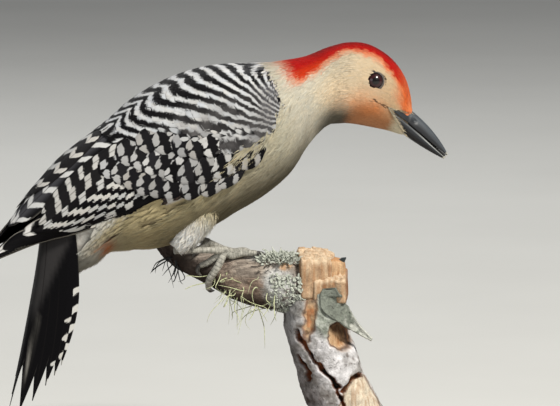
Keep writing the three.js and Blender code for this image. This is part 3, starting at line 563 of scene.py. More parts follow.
class Finish:
    """A node material put together from short calls; each returns a wire, or a list of them."""

    def __init__(self, name):
        self.material = bpy.data.materials.new(name)
        self.material.use_nodes = True
        self.tree = self.material.node_tree
        self.tree.nodes.clear()

    def node(self, kind, inputs, **settings):
        made = self.tree.nodes.new(kind)
        for key, value in settings.items():
            setattr(made, key, value)
        for key, value in inputs.items():
            socket = made.inputs[key]
            if isinstance(value, Wire):
                self.tree.links.new(value.socket, socket)
            elif value is not None:
                socket.default_value = (*value, 1) if socket.type == "RGBA" and len(value) == 3 else value
        return [Wire(self, socket) for socket in made.outputs]

    def sum(self, how, a, b=None, clamp=False):
        return self.node("ShaderNodeMath", {0: a, 1: b}, operation=how, use_clamp=clamp)[0]

    def step(self, x, low, high, out_low=0.0, out_high=1.0):
        inputs = dict(zip(("Value", "From Min", "From Max", "To Min", "To Max"), (x, low, high, out_low, out_high)))
        return self.node("ShaderNodeMapRange", inputs, interpolation_type="SMOOTHSTEP")[0]

    def blend(self, share, a, b, how="MIX"):
        return self.node("ShaderNodeMix", {0: share, 6: a, 7: b}, data_type="RGBA", blend_type=how)[2]

    def shade(self, color, tone):
        return self.blend(1.0, color, self.node("ShaderNodeCombineColor", {0: tone, 1: tone, 2: tone})[0], "MULTIPLY")

    def grain(self, vector, scale, detail=3.0, rough=0.55, warp=0.0):
        return self.node("ShaderNodeTexNoise", {"Vector": vector, "Scale": scale, "Detail": detail,
                                                "Roughness": rough, "Distortion": warp})[0]

    def place(self):
        return self.node("ShaderNodeTexCoord", {})[3]

    def stretch(self, vector, size):
        return self.node("ShaderNodeMapping", {"Vector": vector, "Scale": size})[0]

    def join(self, x, y, z=0.0):
        return self.node("ShaderNodeCombineXYZ", {0: x, 1: y, 2: z})[0]

    def color_at(self, name):
        return self.node("ShaderNodeAttribute", {}, attribute_name=name, attribute_type="GEOMETRY")[0]

    def parts_at(self, name):
        vector = self.node("ShaderNodeAttribute", {}, attribute_name=name, attribute_type="GEOMETRY")[1]
        return self.node("ShaderNodeSeparateXYZ", {0: vector})

    def chart(self, name):
        return self.node("ShaderNodeSeparateXYZ", {0: self.node("ShaderNodeUVMap", {}, uv_map=name)[0]})

    def relief(self, height, depth):
        return self.node("ShaderNodeBump", {"Height": height, "Distance": depth * MM, "Strength": 1.0})[0]

    def done(self, color, rough, normal=None, **fixed):
        inputs = {"Base Color": color, "Roughness": rough, "Normal": normal}
        inputs.update({key.replace("_", " "): value for key, value in fixed.items()})
        self.node("ShaderNodeOutputMaterial", {"Surface": self.node("ShaderNodeBsdfPrincipled", inputs)[0]})
        return self.material


def feather_finish(name, rough, sheen, barb, streak, relief, fuzz, soft=0.035, fray=0.2):
    """Feather colour: the tint where the bar coordinate is near a whole number, the dark
    colour elsewhere, cut to a share of the vane's width, with barbs at a slant to the shaft."""
    f = Finish(name)
    x, y, _z = f.chart("Vane")
    w, bar, _z = f.chart("Marks")
    duty, pinch, edge = f.parts_at("bars")
    rim, shaft, gloss = f.parts_at("look")
    width = abs(w)
    slant = y + abs(x) * 0.8
    barbs = f.sum("SINE", slant * (6.283 * barb))
    comb = f.grain(f.join(slant * 1.6, x * 0.35), 1.0) - 0.5
    streaks = f.grain(f.join(x * 2.6, y * 0.3), 1.0)
    wander = f.grain(f.place(), 420.0) - 0.5
    shift = (wander * 0.32 + comb * fray) * (duty * 2.2)
    near = f.sum("PINGPONG", bar + shift + 1000.0, 0.5)
    open_at = f.step(width, pinch - 0.14, pinch + 0.06) * (1.0 - f.step(width, edge - 0.1, edge + 0.08))
    half = duty * 0.5 * open_at
    white = f.sum("SUBTRACT", 1.0, f.step(near, half - soft, half + soft), clamp=True)
    white = white * f.sum("GREATER_THAN", half, 0.012)
    color = f.blend(white, f.color_at("dark"), f.color_at("tint"))
    color = f.blend(f.step(width, 0.86, 0.99) * rim, color, lin(150, 145, 135))
    line = 1.0 - f.step(abs(x), 0.1, 0.26)
    color = f.blend(line * shaft, color, (0.006, 0.005, 0.005))
    tone = 1.0 - streak * 0.5 - 0.04 + streaks * streak + barbs * 0.04 + comb * fuzz
    height = barbs * 0.35 + streaks * 0.9 + comb * 0.6
    roughness = f.sum("SUBTRACT", rough, gloss * (1.0 - white), clamp=True)
    return f.done(f.shade(color, tone), roughness, f.relief(height, relief), Sheen_Weight=sheen,
                  Sheen_Roughness=0.45, Specular_IOR_Level=0.07)


soft_plumage = feather_finish("soft_plumage", 0.85, 0.06, 3.0, 0.4, 0.12, 0.16)
barred_plumage = feather_finish("barred_plumage", 0.75, 0.03, 2.6, 0.3, 0.05, 0.2, 0.1, 0.5)
quill_plumage = feather_finish("quill_plumage", 0.66, 0.0, 2.4, 0.14, 0.035, 0.08, 0.045, 0.28)


def skin_finish():
    """Bare skin under the coat: the coat's own tints and bars, with pores and fine folds."""
    f = Finish("skin_under_coat")
    bar = f.chart("Marks")[1]
    here = f.place()
    near = f.sum("PINGPONG", bar + (f.grain(here, 300.0) - 0.5) * 0.3 + 1000.0, 0.5)
    white = f.sum("LESS_THAN", near, f.parts_at("bars")[0] * 0.5)
    color = f.blend(white, f.color_at("dark"), f.color_at("tint"))
    folds = f.grain(here, 900.0, 5.0)
    color = f.blend(f.step(folds, 0.3, 0.7, 0.0, 0.4), color, lin(120, 96, 84))
    return f.done(color, 0.8, f.relief(folds, 0.15), Specular_IOR_Level=0.3)


def horn_finish(name, dark, pale, rough, along=(30, 260, 260)):
    """Horn: fine growth lines drawn along the piece, rubbed paler on the ridges."""
    f = Finish(name)
    here = f.place()
    lines = f.grain(f.stretch(here, along), 12.0, 4.0, 0.6)
    specks = f.grain(here, 1400.0, 3.0)
    color = f.blend(f.step(lines, 0.35, 0.7), dark, pale)
    color = f.blend(f.step(specks, 0.62, 0.75, 0.0, 0.35), color, lin(165, 160, 150))
    rough_here = f.step(lines, 0.2, 0.8, rough - 0.06, rough + 0.14)
    return f.done(color, rough_here, f.relief(lines, 0.12), Specular_IOR_Level=0.5)


def bill_finish():
    """Bill horn, told from the bill's own chart of run and height: slate, with a painted
    highlight along the culmen and painted shade towards the upper half's cutting edge and
    down the lower half to the gonys; a painted highlight makes a pale rim along the lower
    half's cutting edge, and painted shadow lies black in the gap between the halves; growth
    lines run along it and the tip is chipped pale."""
    f = Finish("bill_horn")
    run, high, _z = f.chart("Horn")
    off = abs(high)
    lines = f.grain(f.join(run * 2.2, high * 22.0), 1.0, 4.0)
    # painted highlight and shade: the upper half paler towards the culmen and darker towards its cutting edge, the
    # lower half darker towards the gonys
    upper = f.blend(f.step(off, 0.25, 0.8), lin(24, 26, 30), lin(66, 71, 76))
    lower = f.blend(f.step(off, 0.2, 0.55), lin(40, 44, 50), lin(16, 18, 21))
    # painted highlight: a pale rim along the lower half's cutting edge
    rim = f.step(run, 0.1, 0.5, 0.25, 1.0) * (1.0 - f.step(off, 0.08, 0.22))
    color = f.blend(f.sum("GREATER_THAN", high, 0.0), f.blend(rim, lower, lin(150, 152, 150)), upper)
    color = f.shade(color, f.step(lines, 0.3, 0.72, 0.72, 1.2))
    # painted shadow: black right at the cutting edges and on the faces inside the gap
    color = f.blend(1.0 - f.step(off, 0.0, 0.03), color, (0.004, 0.004, 0.004))
    color = f.blend(f.step(run, -0.3, 0.06, 0.12, 0.0), color, lin(98, 104, 112))
    chips = f.step(run, 0.93, 0.99) * f.step(f.grain(f.place(), 1200.0), 0.4, 0.55)
    color = f.blend(chips, color, lin(196, 192, 180))
    return f.done(color, f.step(lines, 0.2, 0.8, 0.36, 0.55), f.relief(lines, 0.1), Specular_IOR_Level=0.45)


def eye_finish():
    """Eye: a brown-red ring round a black pupil under a clear wet coat."""
    f = Finish("eye_gloss")
    run, turn, _z = f.chart("Iris")
    around = turn * 6.283
    rays = f.grain(f.join(f.sum("SINE", around) * 9.0, f.sum("COSINE", around) * 9.0, run), 3.0)
    iris = f.blend(rays, lin(22, 6, 8), lin(58, 16, 18))
    color = f.blend(f.step(run, 0.2, 0.25), (0.002, 0.001, 0.001), iris)
    color = f.blend(f.step(run, 0.4, 0.46), color, lin(18, 8, 8))
    return f.done(color, 0.3, Specular_IOR_Level=0.2, Coat_Weight=0.6, Coat_Roughness=0.03)


def scale_finish():
    """Leg and toes: rings of plates along them, grey, darker in the creases."""
    f = Finish("leg_scale")
    plate = f.sum("PINGPONG", f.chart("Scales")[0], 0.5)
    crease = 1.0 - f.step(plate, 0.02, 0.12)
    dirt = f.grain(f.place(), 700.0, 4.0)
    color = f.blend(f.step(dirt, 0.3, 0.7), lin(120, 118, 110), lin(176, 173, 162))
    color = f.blend(crease * 0.5, color, lin(84, 80, 74))
    height = f.step(plate, 0.0, 0.2) + dirt * 0.35
    return f.done(color, 0.6, f.relief(height, 0.1), Specular_IOR_Level=0.45)


def bark_finish():
    """Bark and bare wood: a tint a place, broken by crust, pores and short cracks; fibres run
    along the bare wood, and along the bark where it is stringy."""
    f = Finish("lichen_bark")
    here = f.place()
    wood, string, _z = f.parts_at("kind")
    crust = f.grain(here, 300.0, 6.0, 0.7, 0.4)
    fine = f.grain(here, 1500.0, 5.0, 0.7)
    blots = f.grain(here, 620.0, 3.0, 0.5, 0.8)
    tone = f.step(crust, 0.3, 0.75, 0.66, 1.12) + f.step(fine, 0.3, 0.7, -0.12, 0.12)
    pits = f.step(blots, 0.62, 0.7) * (1.0 - wood)
    color = f.blend(pits * 0.5, f.shade(f.color_at("tint"), tone), lin(58, 54, 52))
    upright = f.grain(f.stretch(here, (800, 800, 70)), 1.0, 4.0)
    level = f.grain(f.stretch(here, (90, 700, 700)), 1.0, 4.0, 0.6, 0.5)
    color = f.blend(f.step(upright, 0.4, 0.66, 0.0, 0.5) * wood, color, lin(152, 104, 64))
    color = f.blend(f.step(level, 0.4, 0.62, 0.0, 0.6) * string, color, lin(58, 48, 42))
    height = crust * 1.0 + fine * 0.5 - pits * 0.4 - level * string * 0.9
    return f.done(color, 0.92, f.relief(height, 0.6), Specular_IOR_Level=0.2)


def lichen_finish(name, low, high):
    """Lichen: matt, powdery, two close tints in fine specks."""
    f = Finish(name)
    here = f.place()
    specks = f.grain(here, 900.0, 4.0, 0.7)
    color = f.blend(f.step(specks, 0.35, 0.7), low, high)
    return f.done(color, 0.95, f.relief(specks, 0.2), Sheen_Weight=0.2, Specular_IOR_Level=0.15)


def board_finish():
    """Stand base: dark oiled hardwood, long grain along X with pores and slow colour bands."""
    f = Finish("stand_wood")
    here = f.place()
    bands = f.grain(f.stretch(here, (3, 26, 26)), 3.0, 4.0, 0.55, 0.6)
    fibre = f.grain(f.stretch(here, (14, 420, 420)), 3.0, 4.0, 0.6)
    pores = f.grain(f.stretch(here, (60, 900, 900)), 1.6, 2.0)
    color = f.blend(f.step(bands, 0.3, 0.7), lin(74, 48, 32), lin(122, 84, 56))
    color = f.blend(f.step(fibre, 0.4, 0.7, 0.0, 0.5), color, lin(60, 38, 26))
    color = f.blend(f.step(pores, 0.66, 0.74, 0.0, 0.7), color, lin(30, 19, 13))
    height = fibre * 0.5 - f.step(pores, 0.66, 0.74)
    return f.done(color, f.step(fibre, 0.3, 0.7, 0.36, 0.5), f.relief(height, 0.08), Specular_IOR_Level=0.5)


def rod_finish():
    """Rod: turned steel with fine rings round it and a few darker rubs."""
    f = Finish("rod_metal")
    here = f.place()
    rings = f.grain(f.stretch(here, (20, 20, 2600)), 1.0, 2.0)
    rubs = f.grain(here, 220.0, 4.0)
    color = f.blend(f.step(rubs, 0.4, 0.7), lin(150, 150, 152), lin(110, 110, 114))
    return f.done(color, f.step(rings, 0.3, 0.7, 0.24, 0.4), f.relief(rings, 0.02), Metallic=1.0)


bare_skin = skin_finish()
bristle = horn_finish("bristle", lin(140, 128, 108), lin(196, 184, 156), 0.7)
lid_skin = horn_finish("lid_skin", lin(64, 58, 56), lin(108, 100, 92), 0.7, (200, 200, 200))
bill_horn = bill_finish()
# painted shadow: the finish of the dark tube in the gap between the bill's halves
gape_shadow = horn_finish("gape_shadow", lin(14, 12, 12), lin(30, 26, 26), 0.6, (60, 300, 300))
eye_gloss = eye_finish()
leg_scale = scale_finish()
claw_horn = horn_finish("claw_horn", lin(40, 38, 36), lin(88, 84, 78), 0.4, (120, 120, 120))
lichen_bark = bark_finish()
pale_lichen = lichen_finish("pale_lichen", lin(142, 146, 134), lin(204, 208, 196))
thread_lichen = lichen_finish("thread_lichen", lin(158, 164, 122), lin(212, 214, 176))
dark_lichen = lichen_finish("dark_lichen", lin(30, 36, 38), lin(52, 58, 60))

# ---------------- plumage colours


def spot(p, centre, size):
    """A soft round spot, 1 at its centre: exp(-(distance / size)^2)."""
    return np.exp(-(np.linalg.norm((p - np.array(centre)) / np.array(size), axis=-1))**2)


def over(base, colour, share):
    """One colour laid over another by a share a point."""
    return base + (np.asarray(colour) - base) * np.asarray(share)[..., None]


# under parts and sides by station, from the tail to the bill, and how much each channel is held down
PALE_COLOURS = [(206, 200, 180), (216, 212, 198), (218, 212, 194), (206, 194, 160), (206, 192, 152), (208, 196, 158),
                (214, 204, 172), (222, 214, 188), (232, 226, 204), (240, 235, 218), (243, 238, 220), (240, 234, 212),
                (238, 230, 204), (240, 230, 200), (240, 226, 192), (238, 218, 180), (232, 210, 172)]
PALE_SHARES = ((0.52, 0.56, 0.76, 0.76, 0.58, 0.6, 0.64, 0.6), (0.52, 0.55, 0.74, 0.74, 0.57, 0.58, 0.56, 0.52),
               (0.5, 0.53, 0.7, 0.7, 0.54, 0.56, 0.52, 0.47))
PALE_BY_STATION = np.array([lin(*colour) for colour in PALE_COLOURS]) * np.stack(
    [np.interp(np.arange(17), [0, 2, 4, 5, 8, 11, 13, 16], share) for share in PALE_SHARES], -1)
RED_EDGE = [38, 38, 38, 38, 38, 38, 38, 38, 38, 42, 47, 44, 34, 33, 41, 50, 60]
GAPE = np.array([[60.3, 154.4], [65.6, 151.2], [74.0, 144.4]])


def off_line(x, z, line):
    """Distance in side view from a line of joined points."""
    best = 1e9 + 0 * x
    for (x0, z0), (x1, z1) in zip(line[:-1], line[1:]):
        k = np.clip(((x - x0) * (x1 - x0) + (z - z0) * (z1 - z0)) / ((x1 - x0)**2 + (z1 - z0)**2), 0, 1)
        best = np.minimum(best, np.hypot(x - x0 - k * (x1 - x0), z - z0 - k * (z1 - z0)))
    return best


def paint(c, *coats):
    """Colours, 0 to 255 a channel, laid over one another in turn, each by its share a point."""
    for red, green, blue, share in coats:
        c = over(c, lin(red, green, blue), share)
    return c


def plumage_tint(p, u, a):
    """Colour of the soft plumage at a point: cream and buff by station, a red band along the
    crown from nape to forehead, orange at its fringe and over the bill, peach cheeks, brown
    under the chin, painted shade under the breast, in the fold of the neck and under the
    throat, and a painted shadow along the gape from its corner."""
    side = side_angle(a)
    head = ease(9.6, 10.6, u)
    mirrored = zipped(p[..., 0], MIDDLE_Y - np.abs(p[..., 1] - MIDDLE_Y), p[..., 2])
    patch = 1 + 0.35 * lumps(p, 2.4, 15)
    chin = ease(100 + 6 * (u - 10), 134 + 4 * (u - 10), side)
    edge = smooth_value(RED_EDGE, u) + 5 * lumps(p, 1.6, 5) + 3 * lumps(p, 4.0, 6)
    fringe = (1 - ease(edge - 3, edge + 10, side)) * ease(8.9, 9.6, u)
    red = (1 - ease(edge - 10, edge - 1, side)) * ease(9.05, 9.7, u)
    front = ease(14.35, 15.2, u) * (1 - ease(70, 92, side)) * (0.75 + 0.25 * patch)
    rump = (1 - ease(3.4, 4.2, u)) * (1 - ease(70, 96, side))
    gape = ease(0.55, 0.15, off_line(p[..., 0], p[..., 2], GAPE))
    return paint(
        smooth_row(PALE_BY_STATION, u),
        # painted shade: the underside of the breast and belly drawn dark brown
        (92, 84, 64, 0.88 * ease(94, 138, side) * ease(3, 6, u) * (1 - ease(8.8, 10, u))),
        (250, 186, 138, np.clip(0.7 * patch * head * spot(mirrored, (53.6, 6, 154.6), (7.5, 9, 4.4)), 0, 1)),
        (238, 140, 76, np.clip(0.85 * patch * head * spot(mirrored, (59.8, 8, 149.8), (5.2, 9, 3.6)), 0, 1)),
        (238, 212, 176, 0.7 * head * spot(mirrored, (45.0, 6, 160.0), (8.0, 9, 6.0))),
        (206, 172, 140, 0.4 * head * spot(mirrored, (59.9, 8, 158.6), (4.6, 9, 2.4))),
        # painted shadow: the underside of the throat drawn dark grey
        (52, 50, 42, 0.92 * chin * ease(9.7, 10.9, u) * (1 - ease(12.8, 14.0, u))),
        # painted shade: grey along the fold under the neck
        (168, 160, 142, 0.5 * ease(84, 124, side) * spot(mirrored, (38, 8, 149), (9, 12, 7))),
        (182, 118, 74, 0.85 * ease(92, 132, side) * ease(12.3, 13.5, u) * (1 - ease(14.9, 15.6, u))),
        (226, 216, 188, 0.75 * ease(15.0, 15.6, u) * ease(88, 120, side)),
        (214, 112, 66, fringe * 0.8), (172, 12, 6, red),
        (126, 2, 4, 0.85 * red * (1 - ease(0, 24, side)) * ease(10, 11, u) * (1 - ease(14, 15, u))),
        (196, 62, 20, 0.6 * red * ease(22, 38, side) * (1 - ease(10.6, 11.4, u))),
        (212, 100, 42, np.clip(front * (0.42 + 0.5 * ease(14.8, 15.6, u)), 0, 1)),
        (222, 150, 96, 0.35 * ease(15.55, 15.85, u) * (1 - ease(60, 80, side))),
        (200, 198, 190, rump),
        (70, 66, 62, 0.6 * (1 - ease(0.4, 1.4, u)) * ease(0.1, 0.6, lumps(p, 4.0, 18))),
        (188, 98, 46, 0.95 * spot(p, (-45.4, -20.0, 99.4), (3.0, 8.0, 2.8))),
        (196, 195, 188, 0.8 * spot(p, (-62, -26, 98), (8, 9, 6))),
        # painted shadow: a dark line along the gape, back from its corner
        (36, 24, 20, 0.9 * gape * ease(6, 2, np.abs(side - 84) / 6)))


def jitter_tint(c, amount, count, shape):
    """Each feather a shade lighter or darker, and a touch warmer or cooler, than its place."""
    light = 1 + amount * chance.normal(0, 1, (count, 1, 1, 1))
    warm = 1 + 0.25 * amount * chance.normal(0, 1, (count, 1, 1, 1)) * np.array([1, 0, -1.4])
    return np.broadcast_to(c, shape + (3,)) * light * warm


def dress(v, tint, dark=(0.01, 0.009, 0.01), y=0.0, bars=(2.0, -1.0, 2.0), look=(0, 0, 0), bake=None, amount=0.07):
    """Gives a set of vanes its colours, bar coordinate, baking map and small differences."""
    shape = v.x.shape
    v.tint = jitter_tint(tint, amount, v.count, shape)
    light = 1 + 0.15 * chance.normal(0, 1, (v.count, 1, 1, 1))
    v.dark = np.broadcast_to(np.asarray(dark), shape + (3,)) * light
    v.y, v.bars, v.look, v.bake = y, np.asarray(bars, float), np.asarray(look, float), bake
    v.place = body_place(v.root[:, 0], v.root[:, 1])
    return v


def scatter(carrier, u_range, a_range, spacing, thin=None):
    """Roots strewn evenly over part of a carrier: rows `spacing` apart along it, each filled
    round at its own girth, moved at random by a third of a space."""
    along, across = spacing
    u = np.linspace(*u_range, 200)
    run = gaps(carrier(u, np.mean(a_range) + 0 * u))
    rows = np.interp(np.arange(0, run[-1], along), run, u)
    places = []
    for number, row in enumerate(rows):
        a = np.linspace(*a_range, 120)
        girth = gaps(carrier(row + 0 * a, a))
        at = np.interp(np.arange((number % 2) * across / 2, girth[-1], across), girth, a)
        places.append(zipped(row + 0 * at, at))
    places = np.concatenate(places)
    step_u = (u[-1] - u[0]) / run[-1] * along
    step_a = abs(a_range[1] - a_range[0]) / girth[-1] * across
    places = places + chance.uniform(-0.33, 0.33, places.shape) * [step_u, step_a]
    return places if thin is None else places[thin(places[:, 0], places[:, 1])]


# the line where the barred back and wing meet the cream breast: angle, sheath station
FRONT_ANGLE = [0, 27, 49, 64, 72, 84, 95, 97, 180]
FRONT_STATION = [9.5, 9.38, 9.28, 9.2, 8.54, 7.63, 7.09, 6.8, 0.5]


def behind_front(u_body, a):
    """How far behind the breast line a place on the body lies, in stations."""
    return np.interp(side_angle(a), FRONT_ANGLE, FRONT_STATION) - (u_body + 1)


def covered_by_wing(u_body, a):
    """True where a folded wing lies over the body."""
    return (behind_front(u_body, a) > 0.25) & (side_angle(a) < smooth_value(WING_LOWER, u_body + 1) - 5)


# ---------------- skin

COAT_BODY, COAT_FACE = 1.5, 0.55


def skin_inset(u):
    """Depth of coat over the skin at a station: thick on the body, thin on the face."""
    return COAT_BODY + (COAT_FACE - COAT_BODY) * ease(9, 13, u) + 2.2 * ease(2.4, 1.2, u)


def nearest_in(source, points):
    """The number of the source point nearest to each point, and how far off it is."""
    tree = KDTree(len(source))
    for number, place in enumerate(source):
        tree.insert(place, number)
    tree.balance()
    found = [tree.find(place) for place in points]
    return np.array([f[1] for f in found]), np.array([f[2] for f in found])


def read(items, key, columns, kind=float):
    """One attribute of all the items, as an array of rows."""
    values = np.zeros(len(items) * columns, kind)
    items.foreach_get(key, values)
    return values.reshape(-1, columns)


def joined(solids):
    """Several closed solids made one: their union as points and three-cornered faces, the number
    of the source point nearest to each point, and the joint between them smoothed, each point
    near a fresh edge moved towards the mean of its neighbours twelve times."""
    shapes = []
    for points, faces in solids:
        mesh = bpy.data.meshes.new("solid")
        mesh.from_pydata(points.tolist(), [], [f for group in outward(faces, points) for f in group.tolist()])
        shapes.append(show("solid", mesh))
    for other in shapes[1:]:
        joint = shapes[0].modifiers.new("joint", "BOOLEAN")
        joint.operation, joint.solver, joint.object = "UNION", "EXACT", other
    whole = bpy.data.meshes.new_from_object(shapes[0].evaluated_get(bpy.context.evaluated_depsgraph_get()))
    whole.calc_loop_triangles()
    points, faces = read(whole.vertices, "co", 3), read(whole.loop_triangles, "vertices", 3, np.int32)
    edges = read(whole.edges, "vertices", 2, np.int32)
    for shape in shapes:
        mesh = shape.data
        bpy.data.objects.remove(shape)
        bpy.data.meshes.remove(mesh)
    bpy.data.meshes.remove(whole)
    nearest, gap = nearest_in(np.concatenate([points_of for points_of, _faces in solids]), points)
    fresh = points[gap > 0.01]
    if len(fresh):
        reach = 2.0  # millimetres from the joint
        share = 0.7 * np.exp(-(nearest_in(fresh, points)[1] / reach)**2)[:, None]
        count = np.zeros((len(points), 1))
        np.add.at(count, edges.ravel(), 1)
        for _round in range(12):
            total = np.zeros_like(points)
            np.add.at(total, edges[:, 0], points[edges[:, 1]])
            np.add.at(total, edges[:, 1], points[edges[:, 0]])
            points = points + share * (total / np.maximum(count, 1) - points)
    return points, faces, nearest


def dome(ring, inner, shares, rise):
    """Rings that close a tube's end: its last ring shrunk by each share of its size and moved on,
    away from an inner ring, by `rise` where nothing is left of it."""
    middle = ring.mean(0)
    ahead = unit(middle - inner.mean(0))
    return np.stack([middle + (ring - middle) * share + ahead * (1 - share) * rise for share in shares])


def build_skin():
    """Body skin: the body loft drawn in by the coat's depth, with a ring every sixteenth of a
    station, closed by a dome at each end, and the two thighs as tubes grown out of it; all of
    it joined into one skin, smoothed where the thighs leave the belly."""
    u = np.linspace(0.04, 16, 256)
    a = np.linspace(-180, 180, 145)[:-1]
    uu, aa = np.meshgrid(u, a, indexing="ij")
    place = loft_grown(uu, aa, -skin_inset(uu))
    inward = unit(smooth_row(BODY, uu)[..., :3] - place)
    for k in (1, -1):
        gap = place - EYE_PLACE[k]
        off = np.hypot(gap[..., 0], gap[..., 2])
        same = gap[..., 1] * -k > 0
        turn = np.arctan2(gap[..., 2], gap[..., 0])
        folds = 0.08 * np.sin(15 * turn + 1.3 * off) * ease(6.2, 4.6, off)
        place = place + inward * (same * (0.75 * ease(6.0, 3.6, off) + folds))[..., None]
    bare = ~clear_of_face(place.reshape(-1, 3)).reshape(uu.shape) & (place[..., 0] > 64.6)
    place = place + inward * (0.9 * bare)[..., None]
    points = np.concatenate([dome(place[0], place[4], (0.08, 0.4, 0.75), 1.2), place,
                             dome(place[-1], place[-5], (0.8, 0.45, 0.08), 1.5)])
    uu, aa = np.broadcast_arrays(np.r_[0.01, 0.02, 0.03, u, 16.01, 16.02, 16.03][:, None], a[None])
    solids = [(points.reshape(-1, 3), tube_faces(*points.shape[:2]))]
    stations, angles = [uu.ravel()], [aa.ravel()]
    for side in (1, -1):
        thigh, tu, ta = limb_points(LEGS[side]["thigh"], steps=6, sides=24, reference=(0, 1, 0), spread=0.84)
        solids.append((thigh.reshape(-1, 3), tube_faces(*thigh.shape[:2])))
        stations.append((5.2 + 0.18 * tu).ravel())
        angles.append((side * 150 + 10 * np.sin(ta)).ravel())
    flat, faces, nearest = joined(solids)
    stations, angles = np.clip(np.concatenate(stations), 0, 16)[nearest], np.concatenate(angles)[nearest]
    back = (behind_front(stations, angles) > 0) & (np.abs(angles) < 100) & (stations > 3.4)
    tint = np.where(back[:, None], lin(196, 196, 194), plumage_tint(flat, stations, angles))
    bar = back_bars(stations + 1, angles)
    duty = np.where(back, 0.45, 2.0)
    skin = make_piece("skin", flat, [faces], bare_skin,
                      {"OFBake": zipped(0.04 + 0.92 * stations / 16, 0.04 + 0.92 * (angles + 180) / 360),
                       "Marks": zipped(0.0, bar)}, {"bars": zipped(duty, 0.0, 2.0)},
                      {"tint": tint, "dark": np.broadcast_to([0.012, 0.011, 0.012], tint.shape)})
    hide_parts("head", "neck", "trunk", "thigh_right", "thigh_left")


def loft_grown(u, a, grow):
    """The body loft with its own growth at every point."""
    flat = loft(BODY, u, a)
    centre = smooth_row(BODY, u)
    depth, width = centre[..., 3], centre[..., 4]
    share = 1 + grow / np.maximum(np.sqrt(depth * width), 4.0)
    return centre[..., :3] + (flat - centre[..., :3]) * share[..., None]


# ---------------- soft plumage


LID_REACH = 4.95  # from the eye's middle
# the edges of the feathered face in side view: from the gape's corner to the culmen and to the chin
CORNER_TO_CULMEN = (65.3, 151.4), (75.3, 148.7)
CORNER_TO_CHIN = (65.8, 151.6), (72.4, 139.3)


def clear_of_face(p):
    """True away from the eyes, the bare horn at the root of the bill and the tip of the face."""
    near = np.minimum(*[np.linalg.norm(p - EYE_PLACE[k], axis=-1) for k in (1, -1)])
    (x0, z0), (x1, z1) = CORNER_TO_CULMEN
    above = (p[:, 0] - x0) * (z1 - z0) / (x1 - x0) + z0
    (x0, z0), (x1, z1) = CORNER_TO_CHIN
    behind = x0 + (z0 - p[:, 2]) * (x1 - x0) / (z0 - z1)
    return (near > LID_REACH) & ~((p[:, 2] < above) & (p[:, 0] > behind))


def soft_tufts(name, u_range, a_range, spacing, length, half, heights, heading, kind, rings, thin, amount,
               camber, thick, wild=6.0, lift_power=1.3):
    """A field of soft feathers over the body; sizes and heading may vary by place."""
    roots = scatter(on_body, u_range, a_range, spacing, thin)
    u, a = roots[:, 0], roots[:, 1]
    value = lambda k: np.asarray(k(u, a) if callable(k) else k, float) + 0 * u
    size = chance.uniform(0.85, 1.15, len(u))
    path = headings(on_body, u, a, value(heading) + chance.normal(0, wild, len(u)), value(length) * size, rings)
    path[..., 0] = np.clip(path[..., 0], -0.9, 16)
    if u_range[1] > 12:
        clear = clear_of_face(on_body(path[..., 0], path[..., 1]).reshape(-1, 3)).reshape(path.shape[:2]).all(-1)
        u, a, path, size = u[clear], a[clear], path[clear], size[clear]
    low, high = value(heights[0]), value(heights[1]) * chance.uniform(0.8, 1.25, len(u))
    v = lay_vanes(on_body, path, value(half) * size, low, high, kind, 3, camber, thick, lift_power, ragged=0.08)
    tint = plumage_tint(on_body(u, a), u, a)[:, None, None, :]
    # painted shade: each feather a little darker towards its root, where the feathers over it shade it
    v = dress(v, tint * (0.96 + 0.06 * v.s)[..., None], amount=amount)
    piece = feather_piece(name, [v], soft_plumage)
    return piece


